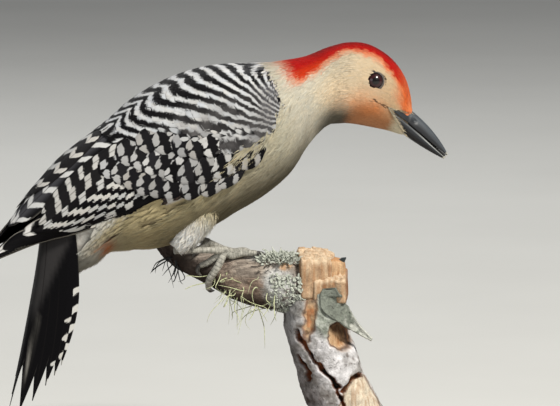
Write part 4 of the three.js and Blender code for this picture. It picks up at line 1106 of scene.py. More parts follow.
def build_soft_plumage():
    """All the cream, buff, red and white feathers, from the face to the vent."""
    bare = lambda u, a: ~covered_by_wing(u, a) & (behind_front(u, a) < 0.35)
    flow = lambda u, a: 8 * np.sin(np.radians(np.clip(np.abs(a), 0, 180)))
    soft_tufts("face_feathers", (11.9, 15.97), (-180, 179), (0.62, 0.7),
               lambda u, a: 1.9 + 1.3 * ease(15.5, 13, u), 0.55, (-0.3, -0.05), flow, "soft", 4,
               None, 0.05, 0.05, 0.04, wild=8)
    soft_tufts("crown_feathers", (9.2, 15.9), (-66, 66), (0.85, 0.7), 3.0, 0.4, (-0.3, 0.1), flow, "wisp", 4,
               lambda u, a: np.abs(a) < smooth_value(RED_EDGE, u) + 6, 0.07, 0.2, 0.07, wild=6)
    ahead = lambda u, a: behind_front(u, a) < -0.12
    soft_tufts("neck_feathers", (8.0, 12.3), (-180, 179), (0.95, 0.95), 4.4, 0.85, (-0.5, 0.05), flow, "soft", 5,
               ahead, 0.06, 0.06, 0.055, wild=8)
    soft_tufts("neck_wisps", (7.7, 12.6), (-180, 179), (1.5, 1.3), 3.8, 0.24, (-0.2, 0.2), flow, "wisp", 4,
               lambda u, a: ahead(u, a) & (np.abs(a) > 36), 0.1, 0.15, 0.05, wild=9)
    soft_tufts("breast_feathers", (5.2, 9.0), (-180, 179), (1.5, 1.4), 7.5, 1.4, (-0.75, 0.0), flow, "soft", 5,
               bare, 0.05, 0.03, 0.03, wild=7)
    soft_tufts("belly_feathers", (1.6, 6.2), (-180, 179), (1.7, 1.5), 9.5, 1.5, (-0.75, 0.05), flow, "soft", 5,
               bare, 0.05, 0.03, 0.03, wild=8)
    soft_tufts("breast_wisps", (4.4, 9.2), (-180, 179), (1.15, 1.0), 6.5, 0.26, (-0.15, 0.2), flow, "wisp", 4,
               ahead, 0.09, 0.12, 0.04, wild=9)
    soft_tufts("belly_wisps", (1.2, 6.4), (-180, 179), (1.2, 1.05), 8.5, 0.3, (-0.15, 0.42), flow, "wisp", 5,
               bare, 0.12, 0.12, 0.05, wild=13)
    beside = lambda u, a: ((behind_front(u, a) > -0.7) & (np.abs(a) > 50) & (np.abs(a) < 112)
                           & (behind_front(u, a) < 0.05 + 0.4 * ease(58, 74, np.abs(a))))
    soft_tufts("breast_side_feathers", (5.3, 8.9), (-112, 112), (0.6, 0.55), 6.6, 0.33,
               (lambda u, a: -0.3 + 2.0 * ease(-0.25, 0.3, behind_front(u, a)) * ease(56, 74, np.abs(a)),
                lambda u, a: 0.3 + 1.9 * ease(58, 78, np.abs(a)) - 0.9 * ease(80, 104, np.abs(a))),
               12.0, "wisp", 6, beside, 0.12, 0.1, 0.04, wild=7, lift_power=0.9)
    off_tail = lambda u, a: ((u > 2.3 + 0.9 * ease(96, 30, side_angle(a)))
                             | (side_angle(a) > np.interp(u, [0.1, 2.3], [106, 82])))
    soft_tufts("rump_feathers", (0.15, 4.4), (-104, 104), (1.9, 1.8), 9, 1.5, (-0.8, 0.3), 0.0, "soft", 6,
               off_tail, 0.05, 0.04, 0.04)
    soft_tufts("undertail_coverts", (0.1, 2.4), (84, 276), (1.3, 1.2), 9, 0.9, (-0.6, 0.1), 0.0, "soft", 7,
               off_tail, 0.05, 0.04, 0.04)
    soft_tufts("vent_wisps", (0.1, 3.6), (50, 310), (0.75, 0.7), 7, 0.24, (-0.2, 1.1), 6.0, "wisp", 6,
               lambda u, a: ~covered_by_wing(u, a) & off_tail(u, a), 0.06, 0.15, 0.05, wild=15)


def build_bristles():
    """Fine pale bristles that lie forward over the root of the bill, from the edge of the face:
    each starts on the line from the gape's corner to the chin or to the culmen, runs towards
    the bill's tip and lifts a little off the horn."""
    for side in (1, -1):
        n = 120
        share = chance.uniform(0.0, 1.0, n)
        low = chance.uniform(0, 1, n) < 0.72
        corner, chin, brow = np.array([65.8, 151.4]), np.array([72.6, 139.2]), np.array([75.0, 148.9])
        start = corner + (np.where(low[:, None], chin, brow) - corner) * share[:, None] - np.array([1.1, -0.4])
        station = np.interp(start[:, 0], BODY[:, 0], np.arange(17.0))
        half = smooth_value(BODY[:, 4], station) * np.interp(share, [0, 0.6, 1], [0.96, 0.86, 0.5])
        toward = np.array([0.82, 0, -0.57]) + chance.normal(0, 0.12, (n, 3)) + np.array([0, side * 0.3, 0])
        start = zipped(start[:, 0], MIDDLE_Y - side * (half - 0.15), start[:, 1])
        ribbons(f"bristles_{SIDE_WORD[side]}", stray(start, toward, chance.uniform(1.4, 3.6, n), 7, 0.1, 0.0),
                chance.uniform(0.06, 0.12, n), bristle, 0.1)


# ---------------- back and shoulders

SCAPULAR_EDGE = ([5.2, 5.35, 5.75, 6.6, 7.3, 7.8, 8.6, 9.2, 9.6], [24, 33, 46, 62, 69, 70, 63, 60, 58])
PALE_BAR, DARK_BAR = lin(188, 189, 190), lin(12, 11, 13)
DASH_STATION = [5.79, 6.16, 6.44, 6.67, 7.0, 7.32, 7.55, 7.91]
DASH_ANGLE = [43, 52, 59, 64, 64, 67, 71, 71]


def back_heading(u, a):
    """Feathers of the back point to the tail at its middle and turn down and back over the shoulder."""
    return 46 * ease(6, 56, np.abs(a)) * (0.35 + 0.65 * ease(5.2, 7.0, u))


def build_back():
    """Mantle and scapulars: rows of rounded feathers over the wing roots, crossed by bars that
    run on from feather to feather, bowed on each and broken a little at its edge, with fine
    loose tufts between them and hair-fine ones where the barring meets the neck."""
    sets = []
    for low, high, spacing, length, half, height, kind in (
            (4.9, 8.5, (2.1, 2.2), 9.5, 2.8, (1.95, 2.4), "round"),
            (7.8, 9.75, (1.2, 1.4), 6.4, 1.2, (0.2, 1.5), "soft"),
            (4.9, 9.7, (1.5, 1.4), 6.5, 0.42, (1.7, 2.6), "wisp"),
            (8.9, 9.95, (0.7, 0.8), 6.4, 0.3, (0.5, 1.3), "wisp")):
        roots = scatter(on_sheath, (low, high), (-80, 80), spacing,
                        lambda u, a: np.abs(a) < np.interp(u, *SCAPULAR_EDGE) - 2)
        u, a = roots[:, 0] + 0.35 * (low < 6), roots[:, 1]
        keep = u < np.interp(np.abs(a), FRONT_ANGLE, FRONT_STATION) + (0.3 if low > 7 else 0.0)
        u, a = u[keep], a[keep]
        rings = 8 if kind == "round" else 6
        path = headings(on_sheath, u, a, back_heading(u, a) + chance.normal(0, 6, len(u)), length, rings)
        near_front = ease(8.3, 9.3, u)
        rise = (0.9 if kind == "wisp" else 1.0)
        v = lay_vanes(on_sheath, path, half, height[0] - 0.7 * near_front, height[1] * rise - 1.0 * near_front, kind,
                      5 if kind == "round" else 3, 0.01, 0.03, 1.2, ragged=0.06)
        grey = ease(24, 52, np.abs(v.a)) * ease(5.3, 6.6, v.u)
        y = back_bars(v.u, v.a) + chance.normal(0, 0.05, (len(u), 1, 1)) + 0.08 * v.w**2 * (kind == "round")
        y = y + 0.3 * grey * lumps(v.points, 2.6, 93)
        mottle = np.clip(0.5 + lumps(v.points, 5.0, 91), 0, 1)
        tint = over(over(PALE_BAR, lin(122, 121, 121), grey * (0.3 + 0.6 * mottle)),
                    lin(228, 196, 176), 0.3 * ease(9.2, 9.6, v.u))
        dark = over(over(DARK_BAR, lin(74, 72, 72), 0.95 * grey * (0.3 + 0.7 * mottle)),
                    lin(96, 96, 100), 0.5 * ease(8.0, 9.0, v.u) * mottle)
        sets.append(dress(v, tint, dark, y, (0.43, -1.0, 2.0), (0, 0, 0.05), amount=0.05))
    # the lowest scapulars end in short white dashes
    for side in (1, -1):
        at = np.arange(0, 14.01, 1.45)
        u, a = [np.interp(at, 2 * np.arange(8), k) for k in (DASH_STATION, DASH_ANGLE)]
        u, a = u + chance.normal(0, 0.05, len(u)), a + chance.normal(0, 2.6, len(u))
        path = headings(on_sheath, u + 0.24, side * a, -34 + chance.normal(0, 8, len(u)),
                        chance.uniform(4.6, 6.6, len(u)), 7)
        v = lay_vanes(on_sheath, path, chance.uniform(0.65, 0.95, len(u)), 2.3, 2.75, "round", 5, 0.03, 0.05, 1.2)
        tint = over(lin(16, 15, 17), lin(168, 167, 165), ease(0.3, 0.42, v.s))
        sets.append(dress(v, tint, DARK_BAR, 0.0, (2.0, -1.0, 2.0), (0, 0, 0.05), amount=0.08))
    piece = feather_piece("back_feathers", sets, barred_plumage)


# ---------------- wings

# bars of the covert rows: place of each shaft along the sheath and its angle, front to rear
COVERT_ROWS = [
    [(7.9, 75), (7.5, 73), (7.1, 70), (6.7, 67), (6.35, 63), (6.1, 57), (5.7, 48), (5.35, 40)],
    [(7.45, 90), (7.1, 88), (6.7, 86), (6.29, 83), (5.89, 77), (5.64, 71), (5.45, 64), (5.2, 57), (5.0, 49), (4.8, 40)],
    [(6.75, 97), (6.3, 96), (5.85, 91), (5.41, 83), (5.11, 77), (4.85, 71), (4.65, 62), (4.5, 53), (4.35, 44)]]
QUILL_EDGES = [0.18, 0.35, 0.485] + [0.485 + 0.053 * k for k in range(1, 9)]


def wing_edges(side, u):
    """Angles of a folded wing's upper and lower edge at a station, from the back outwards."""
    upper, lower = smooth_value(WING_UPPER[side], u), smooth_value(WING_LOWER, u)
    return upper, lower


def wing_width(side, u):
    """Millimetres round the sheath between a wing's two edges."""
    upper, lower = wing_edges(side, u)
    a = upper[..., None] + (lower - upper)[..., None] * np.linspace(0, 1, 13)
    p = on_sheath(u[..., None] + 0 * a, a)
    return np.linalg.norm(np.diff(p, axis=-2), axis=-1).sum(-1)


def quill_path(side, root, tip, share, tip_share, rings):
    """A quill's middle line: from root to tip station, at a share of the wing's width that
    slides from `share` to `tip_share` as it nears the tip."""
    u = root + (tip - root) * np.linspace(0, 1, rings)
    upper, lower = wing_edges(side, u)
    q = share + (tip_share - share) * ease(tip + 2.2, tip, u)
    return zipped(u, side * (upper + q * (lower - upper)))


BLACK = lin(8, 7, 9)
# millimetres between bars: folded quills, coverts, tail and the white tips of the primaries
BAR_PITCH, COVERT_PITCH, TAIL_PITCH, TIP_PITCH = 7.7, 6.6, 7.2, 16
VEE_START, VEE_SLOPE, VEE_PITCH = 33.4, 0.85, 8.2


def open_vees(v):
    """Bar coordinate of the open vees on the feathers that cross the back, points to the tail."""
    return (along_sheath(v.u) - VEE_START - VEE_SLOPE * np.abs(v.x)) / VEE_PITCH


def build_quills(side):
    """A wing's primaries, and above them its secondaries and tertials, each above the one outside it."""
    rings = 44
    # primaries: black, the shorter ones tipped white
    tips = [(1.62, 0.34), (1.02, 0.40), (0.72, 0.46), (0.46, 0.52), (0.22, 0.6), (0.02, 0.66)]
    paths = np.stack([quill_path(side, 4.6, t, 0.80 + 0.024 * k, q, rings) for k, (t, q) in enumerate(tips)])
    share = np.linspace(0.20, 0.16, 6)[:, None] + 0.16 * ease(3.2, 1.4, paths[..., 0])
    height = 0.9 - 0.1 * np.arange(6)
    v = lay_vanes(on_sheath, paths, np.minimum(wing_width(side, paths[..., 0]) * share, 4.2), height - 0.2, height,
                  "quill", 5, 0.06, 0.16)
    from_tip = v.length[:, -1:, :] - v.length
    y = (from_tip - 1.7 - 1.1 * np.abs(v.x)) / TIP_PITCH + np.array([0, .5, 0, .5, .5, .5])[:, None, None]
    pale = over(lin(200, 198, 194), lin(11, 10, 12), ease(6, 8, from_tip))
    pale[[1, 3, 4, 5]] = lin(11, 10, 12)
    sets = [dress(v, pale, BLACK, y, (0.2, -1.0, 2.0), (0.9, 0.5, 0.06), cell_map(v, (0.0, 0.0, 0.4, 1.0)), 0.03)]
    # secondaries and tertials: what differs for the inner three is given first, then one value for the rest
    edge = np.array(QUILL_EDGES)
    count = len(edge)
    by_rank = lambda first, rest: np.r_[first, np.full(count - 3, rest)][:, None, None]
    wide = by_rank([0.19, 0.23, 0.21], 0.26)[:, 0, 0]
    tip_at = np.r_[2.42, 2.12, 1.98, np.linspace(1.98, 2.75, count - 3)]
    paths = np.stack([quill_path(side, 5.9, t, e - w / 2, min(e - w * 0.45 + 0.02, 0.9), rings)
                      for t, e, w in zip(tip_at, edge, wide)])
    height = 2.1 - 0.11 * np.arange(count)
    v = lay_vanes(on_sheath, paths, np.minimum(wing_width(side, paths[..., 0]) * wide[:, None] / 2, 7.5), height - 0.5,
                  height, "quill", 7, 0.05, 0.16, 0.8)
    shown = ((np.r_[0.0, edge[:-1]] + edge) / 2)[:, None, None]
    upper, lower = wing_edges(side, v.u)
    strip = upper + shown * (lower - upper)
    off = (side * v.a - strip) * np.pi / 180 * smooth_row(SHEATH, v.u)[..., 3]
    y = quill_bars(v.u, np.maximum(strip, 25)) - by_rank([0.6, 0.58, 0.5], 0.25) * off / BAR_PITCH
    if side < 0:  # its innermost feathers cross the back, and carry open vees
        y = np.where(np.arange(count)[:, None, None] < 2, open_vees(v), y)
    # painted sheen: the black of the three innermost quills drawn greyer
    dark = BLACK + (lin(28, 27, 28) - BLACK) * by_rank([1.0, 0.7, 0.2], 0.0)[..., None]
    bars = zipped(by_rank([0.34, 0.36, 0.38], 0.42) + 0 * y, -1.0, by_rank([0.84, 0.86, 0.9], 2.0))
    sets.append(dress(v, lin(182, 181, 178), dark, y, bars, (0.0, 0.5, 0.06), cell_map(v, (0.4, 0.0, 1.0, 1.0)), 0.06))
    word = SIDE_WORD[side]
    quills = feather_piece(f"wing_{word}_quills", sets, quill_plumage)
    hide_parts(f"wing_{word}_secondaries", f"wing_{word}_primaries")


def build_coverts(side):
    """A wing's coverts, in rows that climb from the wrist to the back."""
    sets = []
    for row, (places, length, half, high) in enumerate(
            zip(COVERT_ROWS, (11.0, 14.0, 15.0), (4.6, 4.9, 4.6), (2.6, 2.35, 2.1))):
        u, a = np.array(places, float).T
        # the tip lies a little behind the bar, the root a feather's length ahead of it
        tip = headings(on_sheath, u, side * a, 8.0, 2.6, 3)[:, -1]
        root = headings(on_sheath, u, side * a, 188.0, length - 2.6)[:, -1]
        t = np.linspace(0, 1, 10)[None, :, None]
        path = root[:, None] * (1 - t) + tip[:, None] * t
        drop = 0.9 * ease(6.4, 7.8, u)
        v = lay_vanes(on_sheath, path, half, high - 0.5 - drop, high - drop, "round", 7, 0.04, 0.1, 0.9, 0.03)
        from_bar = (v.length[:, -1:, :] - v.length) - 2.6
        y = (from_bar + 0.3 * side * v.x + chance.normal(0, 0.35, (len(u), 1, 1))) / COVERT_PITCH
        dark = BLACK + (lin(40, 39, 42) - BLACK) * chance.uniform(0, 0.5, (len(u), 1, 1, 1))
        tint = lin(178, 177, 176) * chance.uniform(0.62, 1.02, (len(u), 1, 1, 1))
        sets.append(dress(v, tint, dark, y, (0.44, 0.16, 1.2), (0, 0.2, 0.04),
                          cell_map(v, (0.0, row / 3, 1.0, (row + 1) / 3)), 0.05))
    word = SIDE_WORD[side]
    coverts = feather_piece(f"wing_{word}_covert_feathers", sets, quill_plumage)
    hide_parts(f"wing_{word}_coverts")





def build_wing_blade(side):
    """The wing under its feathers: one closed thin blade on the sheath between the wing's
    edges, drawn in from them by a twentieth, full at the wrist and thin at the tip."""
    u = np.linspace(0.5, 9.25, 110)
    uu, qq = np.meshgrid(u, np.linspace(0.04, 0.955, 34), indexing="ij")
    upper, lower = wing_edges(side, uu)
    fill = np.sqrt(np.clip(1 - ease(8.6, 9.3, uu), 0.02, 1))
    a = side * ((upper + lower) / 2 + (qq - 0.5) * (lower - upper) * fill)
    p, normal = on_sheath(uu, a), metric(on_sheath, uu, a)[2]
    root = ease(0.5, 3, uu)
    thick = (np.clip(1 - (2 * qq - 1)**8, 0.05, 1) * (0.25 + 0.35 * root))[..., None]
    middle = p + normal * 0.35 * root[..., None]
    ring = np.concatenate([middle + normal * thick, (middle - normal * thick)[:, ::-1]], 1)
    n = ring.shape[:2]
    flat = lambda *value: np.broadcast_to(value, n + (len(value),))
    piece = make_piece(f"wing_{SIDE_WORD[side]}_blade", ring, outward(tube_faces(*n), ring), quill_plumage,
                       {"OFBake": zipped(0.05 + 0.9 * (u[:, None] / 9.4), 0.05 + 0.9 * np.linspace(0, 1, n[1])[None]),
                        "Vane": zipped(0.4, np.broadcast_to(u[:, None] * 14, n)), "Marks": flat(0.0, 0.5)},
                       {"bars": flat(0.0, -1, 2.0), "look": flat(0.0, 0, 0)},
                       {"tint": flat(*lin(40, 40, 42)), "dark": flat(*lin(12, 11, 13))})


def build_crossed_tertials():
    """The far wing's inner tertials, which cross the back and show above the near wing: open
    vees at every eight millimetres, points to the tail, with a painted grey sheen along the
    middle of each between them."""
    paths = []
    for shift, tip in ((0.0, 1.72), (-16.0, 1.5), (-30.0, 2.1)):
        u = 6.2 + (tip - 6.2) * np.linspace(0, 1, 40)
        shaft = np.interp(u, [1.5, 2.3, 2.9, 3.5, 4.0, 4.4, 6.2], [12, 12, 16, 13, 11, 9, 4])
        paths.append(zipped(u, shaft + shift))
    paths = np.stack(paths)
    half = np.minimum(5.6, smooth_row(SHEATH, paths[..., 0])[..., 4] * 0.6)
    height = np.array([1.35, 1.1, 0.9])
    v = lay_vanes(on_sheath, paths, half, height - 0.3, height, "quill", 9, 0.05, 0.18, 0.8)
    y = open_vees(v) + np.array([0, 0.06, 0.1])[:, None, None]
    # painted sheen: the black drawn grey towards the shaft
    dark = over(lin(14, 13, 15), lin(78, 78, 82), 0.8 * ease(0.75, 0.1, np.abs(v.w)))
    v = dress(v, lin(200, 199, 196), dark, y, (0.36, -1.0, 0.93), (0.2, 0.7, 0.04), cell_map(v, (0, 0, 1, 1)), 0.03)
    piece = feather_piece("wing_left_crossed_tertials", [v], quill_plumage)


# ---------------- tail


def build_tail():
    """Ten stiff tail feathers: the middle pair on top, each pair under the one inside it, tips
    worn to a point; the outer three spotted white towards their tips, the outermost on both
    webs and the next two on the outer web, a pale streak near the ridge on the right half,
    the rest black under a painted grey sheen near the root by the ridge."""
    sets = []
    t = np.linspace(0, 1, 40)
    rank = np.arange(len(TAIL_TIPS))[:, None, None]
    for side in (1, -1):
        paths = []
        for k, (v_tip, q_tip) in enumerate(TAIL_TIPS):
            start, q_tip = 1.4 + 1.75 * k, q_tip * (1 if side > 0 else 0.93)
            across = start + (q_tip - start) * ease(0.0, 0.9, t)
            paths.append(zipped(0.3 - (v_tip + 0.3) * t, side * 10 * across))
        half = np.array([5.0, 4.8, 4.6, 4.2, 3.6])[:, None] * (0.72 + 0.28 * ease(0, 0.35, t))[None]
        height = 1.0 - 0.22 * rank[:, 0, 0]
        v = lay_vanes(tail_carrier, np.stack(paths), half, height - 0.25, height, "spear", 7, 0.07, 0.2, 0.9)
        s, down, out = v.s, -v.u, np.abs(v.a) / 10  # out: millimetres from the ridge
        edge = ease(0.1, 0.45, side * v.w)  # 1 on the web towards the tail's outer edge
        duty = (0.38 * ease(0.53, 0.58, s) * (rank == 4) + 0.4 * ease(0.68, 0.76, s) * edge * (rank == 3)
                + 0.34 * ease(0.84, 0.92, s) * edge * (rank == 2))
        y = (v.length - 2.0 + 0.6 * np.abs(v.x)) / TAIL_PITCH + 0.45 * (rank == 3)
        # painted sheen: grey laid over the black near the root and the ridge
        sheen = ease(0.0, 3.0, 12.5 - 19 * down - out)
        streak = np.exp(-((out - 2.2) / 0.5)**2) * ease(0.5, 0.58, down) * ease(0.95, 0.8, down) * (side > 0)
        dark = paint(lin(7, 6, 8), (56, 54, 54, 0.8 * sheen), (150, 146, 138, 0.7 * streak))
        sets.append(dress(v, lin(196, 194, 188), dark, y, zipped(duty, -1.0, 2.0), (0.06, 0.6, 0.08),
                          cell_map(v, (0, 0, 1, 0.5) if side > 0 else (0, 0.5, 1, 1)), 0.03))
    piece = feather_piece("tail_feathers", sets, quill_plumage)
    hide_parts("tail")


# ---------------- bill, eyes, feet


def build_bill():
    """Both halves of the bill: sections from the gape's corner, under the face, to the tip. The
    upper one rises from the cutting edge to the culmen as a rounded roof, the lower one falls
    to the gonys as a rounded keel. Half width is 0.35 + 3.95 (1 - v)^0.85 in front of the face
    and follows the face's own width behind it; a nostril is pressed in near the root, and a
    dark tube fills the gap between the two cutting edges as painted shadow."""
    v = np.linspace(-0.52, 1, 100)
    gape = curve2(TOMIUM, v)
    face = smooth_value(BODY[:, 4], np.interp(gape[:, 0], BODY[:, 0], np.arange(17.0))) - 0.75
    front = 0.35 + 3.95 * np.clip(1 - v, 0, 1)**0.85
    half = front + (np.minimum(face, 9.6) - front) * ease(0.02, -0.12, v)
    at = v[:, None]
    for name, ridge, upper in (("bill_upper", CULMEN, True), ("bill_lower", GONYS, False)):
        line = curve2(ridge, v)
        gap = 0.12 + (0.0 if upper else 0.24 + 0.5 * ease(0.2, 0.95, at))
        edge = gape + unit(line - gape) * gap * (1 - 0.8 * ease(0.97, 1, at))
        b = np.linspace(0, np.pi, 33)
        rise = np.sin(b)[None]**0.85
        x, z = [edge[:, k:k + 1] + (line - edge)[:, k:k + 1] * rise for k in (0, 1)]
        flat = np.sign(np.cos(b)) * np.abs(np.cos(b))[None]**(0.85 - 0.5 * ease(0.0, -0.3, at))
        draw_in = 0.1 + (0.0 if upper else 0.3) * ease(0.06, -0.2, at)
        y = MIDDLE_Y - half[:, None] * flat * (1 - draw_in * rise)
        if upper:
            groove = np.exp(-((rise - 0.62) / 0.09)**2) * ease(0.0, 0.1, at) * ease(0.75, 0.4, at)
            y = y + np.sign(MIDDLE_Y - y) * 0.22 * groove
            nostril = np.exp(-(((at - 0.08) / 0.05)**2 + ((rise - 0.5) / 0.13)**2))
            y = y + 0.9 * nostril * np.sign(flat)
        b = np.linspace(-1, 1, 9)[1:-1]
        under = zipped(edge[:, :1], MIDDLE_Y + half[:, None] * b[None] * 0.98, edge[:, 1:])
        ring = np.concatenate([zipped(x, y, z), under[:, ::-1]], 1)
        n = ring.shape[:2]
        high = (1 if upper else -1) * np.r_[rise[0], 0 * b]
        bake = zipped(0.04 + 0.92 * np.linspace(0, 1, n[0])[:, None], 0.04 + 0.92 * np.linspace(0, 1, n[1])[None])
        piece = make_piece(name + "_horn", ring, outward(tube_faces(*n), ring), bill_horn,
                           {"OFBake": bake, "Horn": zipped(at, high)})
        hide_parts(name)
    # painted shadow: a dark tube fills the gap between the two cutting edges
    b = full_turn(12)
    down = unit(curve2(GONYS, v) - gape)
    middle = gape + down * (0.12 + 0.42 * ease(0.1, 0.9, at))
    thick = (0.3 + 0.22 * ease(0.2, 0.9, at)) * np.sin(b)[None]
    x, z = [middle[:, k:k + 1] + down[:, k:k + 1] * thick for k in (0, 1)]
    gap_shade = zipped(x, MIDDLE_Y + (half * 0.8)[:, None] * np.cos(b)[None], z)[v < 0.97]
    n = gap_shade.shape[:2]
    piece = make_piece("bill_gap_shadow", gap_shade, outward(tube_faces(*n), gap_shade), gape_shadow, {"OFBake": square_map(n)})


def build_eye(side):
    """Eyeball, as rings round the line of sight, and a wrinkled lid ring that stands up round
    it: a band that follows the ball and rolls outwards into the face."""
    centre = EYE_PLACE[side]
    look = unit(np.array([0.12, -side * 1.0, 0.05]))
    up = unit(np.cross(look, np.cross(np.array([0, 0, 1.0]), look)))
    polar = np.linspace(0.02, np.pi - 0.02, 48)
    turn = full_turn(64)
    out = up * np.cos(turn)[:, None] + np.cross(look, up) * np.sin(turn)[:, None]
    bulge = EYE_RADIUS + 0.18 * np.exp(-(polar / 0.5)**2)
    ring = look * np.cos(polar)[:, None, None] + out[None] * np.sin(polar)[:, None, None]
    points = centre + ring * bulge[:, None, None]
    run, around = (polar / np.pi)[:, None] * 2, (turn / (2 * np.pi))[None]
    piece = make_piece(f"eye_{SIDE_WORD[side]}_ball", points, outward(tube_faces(48, 64), points), eye_gloss,
                       {"OFBake": zipped(0.04 + 0.92 * run / 2, 0.04 + 0.92 * around), "Iris": zipped(run, around)})
    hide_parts(f"eye_{SIDE_WORD[side]}")
    # lid: section angle b round a small tube whose centre circles the ball
    b = full_turn(16)
    slant = np.radians(53 + 2.5 * np.cos(2 * turn))
    wrinkle = 1 + 0.1 * np.sin(23 * turn) + 0.06 * np.sin(41 * turn + 1)
    middle = centre + (look * np.cos(slant)[:, None] + out * np.sin(slant)[:, None]) * (EYE_RADIUS + 0.1)
    radial = unit(middle - centre)
    tangent = unit(np.cross(radial, np.cross(out, look)))
    tube = (radial[:, None] * np.cos(b)[None, :, None] * 0.4
            + tangent[:, None] * np.sin(b)[None, :, None] * 0.42) * wrinkle[:, None, None]
    lid = middle[:, None] + tube
    n, m = lid.shape[:2]
    i, j = np.meshgrid(np.arange(n), np.arange(m), indexing="ij")
    at = lambda r, c: (r % n) * m + c % m
    quads = zipped(at(i, j), at(i + 1, j), at(i + 1, j + 1), at(i, j + 1)).reshape(-1, 4)
    bake = zipped(0.05 + 0.9 * (np.arange(n) / n)[:, None], 0.05 + 0.9 * (np.arange(m) / m)[None])
    piece = make_piece(f"eyelid_{SIDE_WORD[side]}", lid, outward([quads], lid), lid_skin, {"OFBake": bake})


def round_the_arm(rows):
    """Centres laid round the arm: out from its axis by its radius, its bark and the toe's own."""
    rows = np.asarray(rows, float)
    at = smooth_row(ARM, rows[:, 0])
    forward = ahead_of(ARM, rows[:, 0])
    reference = np.where(np.abs(forward[:, 2:3]) > 0.94, np.array([[1.0, 0, 0]]), np.array([[0, 0, 1.0]]))
    side = unit(np.cross(reference, forward))
    side = np.where(side[:, 1:2] > 0, -side, side)
    up = unit(np.cross(forward, side))
    up = np.where(np.sum(up * reference, -1, keepdims=True) < 0, -up, up)
    angle = np.radians(rows[:, 1:2])
    reach = at[:, 3:4] * ARM_RELIEF + rows[:, 2:3] + TOE_LIFT
    return np.c_[at[:, :3] + up * reach * np.cos(angle) + side * reach * np.sin(angle), rows[:, 2]]


def tube_piece(name, tubes, material, replaces, plates=0.0):
    """Several scaled tubes as one mesh; each has a row of plates, a small step at each seam."""
    shapes, charts, bakes = [], [], []
    for number, (rows, steps, sides, seams) in enumerate(tubes):
        plate = lambda u, a: 1 + plates * (1 - 2 * np.abs(np.mod(u * seams, 1) - 0.5))**0.5
        p, u, a = limb_points(rows, steps, sides, plate, (0.2, 0.9, 0.3))
        shapes.append((p, outward(tube_faces(p.shape[0], sides), p)))
        round_it = a / (2 * np.pi)
        charts.append(zipped(u * seams, round_it).reshape(-1, 2))
        cell = (number + 0.5 + (round_it - 0.5) * 0.9) / len(tubes)
        bakes.append(zipped(0.04 + 0.92 * u / u.max(), cell).reshape(-1, 2))
    piece = make_piece(name, *gathered(shapes), material,
                       {"OFBake": np.concatenate(bakes), "Scales": np.concatenate(charts)})
    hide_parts(replaces)


def build_foot(side):
    """Shank and four toes with ringed plates, and the claws."""
    leg, word = LEGS[side], SIDE_WORD[side]
    tubes = [(leg["shank"], 16, 20, 4.2)]
    for toe in leg["toes"]:
        rows = np.vstack([[*leg["shank"][-1][:3], 1.5], round_the_arm(toe)])
        rows[1:-1, 3] *= 1.06
        end = rows[-1] + (rows[-1] - rows[-2]) * 0.12
        end[3] = rows[-1, 3] * 0.75
        tubes.append((np.vstack([rows, end]), 14, 16, 5.0))
    tube_piece(f"foot_{word}_scales", tubes, leg_scale, f"foot_{word}", 0.05)
    for number, claw in enumerate(leg["claws"], 1):
        rows = round_the_arm(claw)
        lead = rows[0] + (rows[0] - rows[1]) * 0.15
        lead[3], rows[-1, 3] = rows[0, 3] * 0.8, 0.12
        tube_piece(f"claw_{word}_{number}_horn", [(np.vstack([lead, rows]), 8, 12, 1.0)], claw_horn,
                   f"claw_{word}_{number}")


def build_thigh_feathers(side):
    """Short fluffy feathers down the thigh to the shank, over its own tube."""
    rows = np.array(LEGS[side]["thigh"], float)

    def on_thigh(u, a):
        """The thigh's tube, with u falling from hip to ankle."""
        u = np.clip(4 - np.asarray(u, float), 0, 4)
        s = smooth_row(rows, u)
        along = ahead_of(rows, u)
        out = unit(np.cross(along, np.array([0, 1.0, 0])))
        aside = np.cross(along, out)
        a = -np.radians(a)
        return s[..., :3] + (out * np.cos(a)[..., None] + aside * np.sin(a)[..., None]) * (s[..., 3] * 0.86)[..., None]

    roots = scatter(on_thigh, (0.25, 3.7), (-180, 179), (0.6, 0.55))
    u, a = roots[:, 0], roots[:, 1]
    path = headings(on_thigh, u, a, chance.normal(0, 14, len(u)), chance.uniform(3.6, 6.4, len(u)))
    path[..., 0] = np.clip(path[..., 0], 0.03, 4)
    v = lay_vanes(on_thigh, path, 0.26, -0.1, 1.3 * chance.uniform(0.3, 1.5, len(u)), "wisp", 3, 0.15, 0.05, ragged=0.1)
    tint = over(lin(232, 230, 224), lin(196, 184, 150), ease(2.4, 3.6, u))[:, None, None, :]
    place = zipped(0.1 + 0.8 * np.clip(u, 0, 4) / 4, 0.1 + 0.8 * (a + 180) / 360)
    # painted shade: each feather a little darker towards its root, where the feathers over it shade it
    v = dress(v, tint * (0.85 + 0.2 * v.s)[..., None], amount=0.12)
    v.place = place
    piece = feather_piece(f"thigh_{SIDE_WORD[side]}_feathers", [v], soft_plumage)


# ---------------- perch


def bark_piece(name, points, tint, wood, string=0.0):
    """A bark mesh with a tint and a share of bare wood and of stringy bark at each point."""
    n = points.shape[:2]
    piece = make_piece(name, points, outward(tube_faces(*n), points), lichen_bark, {"OFBake": square_map(n)},
                       {"kind": zipped(np.broadcast_to(wood, n), string, 0.0)}, {"tint": tint})
    return piece


def blot(x, z, centre, size, lean=0.0):
    """A soft oval seen from the side: 1 at its centre, a half at its rim, 0 well outside."""
    c, s = np.cos(np.radians(lean)), np.sin(np.radians(lean))
    dx, dz = x - centre[0], z - centre[1]
    return ease(1.35, 0.65, np.hypot((dx * c + dz * s) / size[0], (dz * c - dx * s) / size[1]))


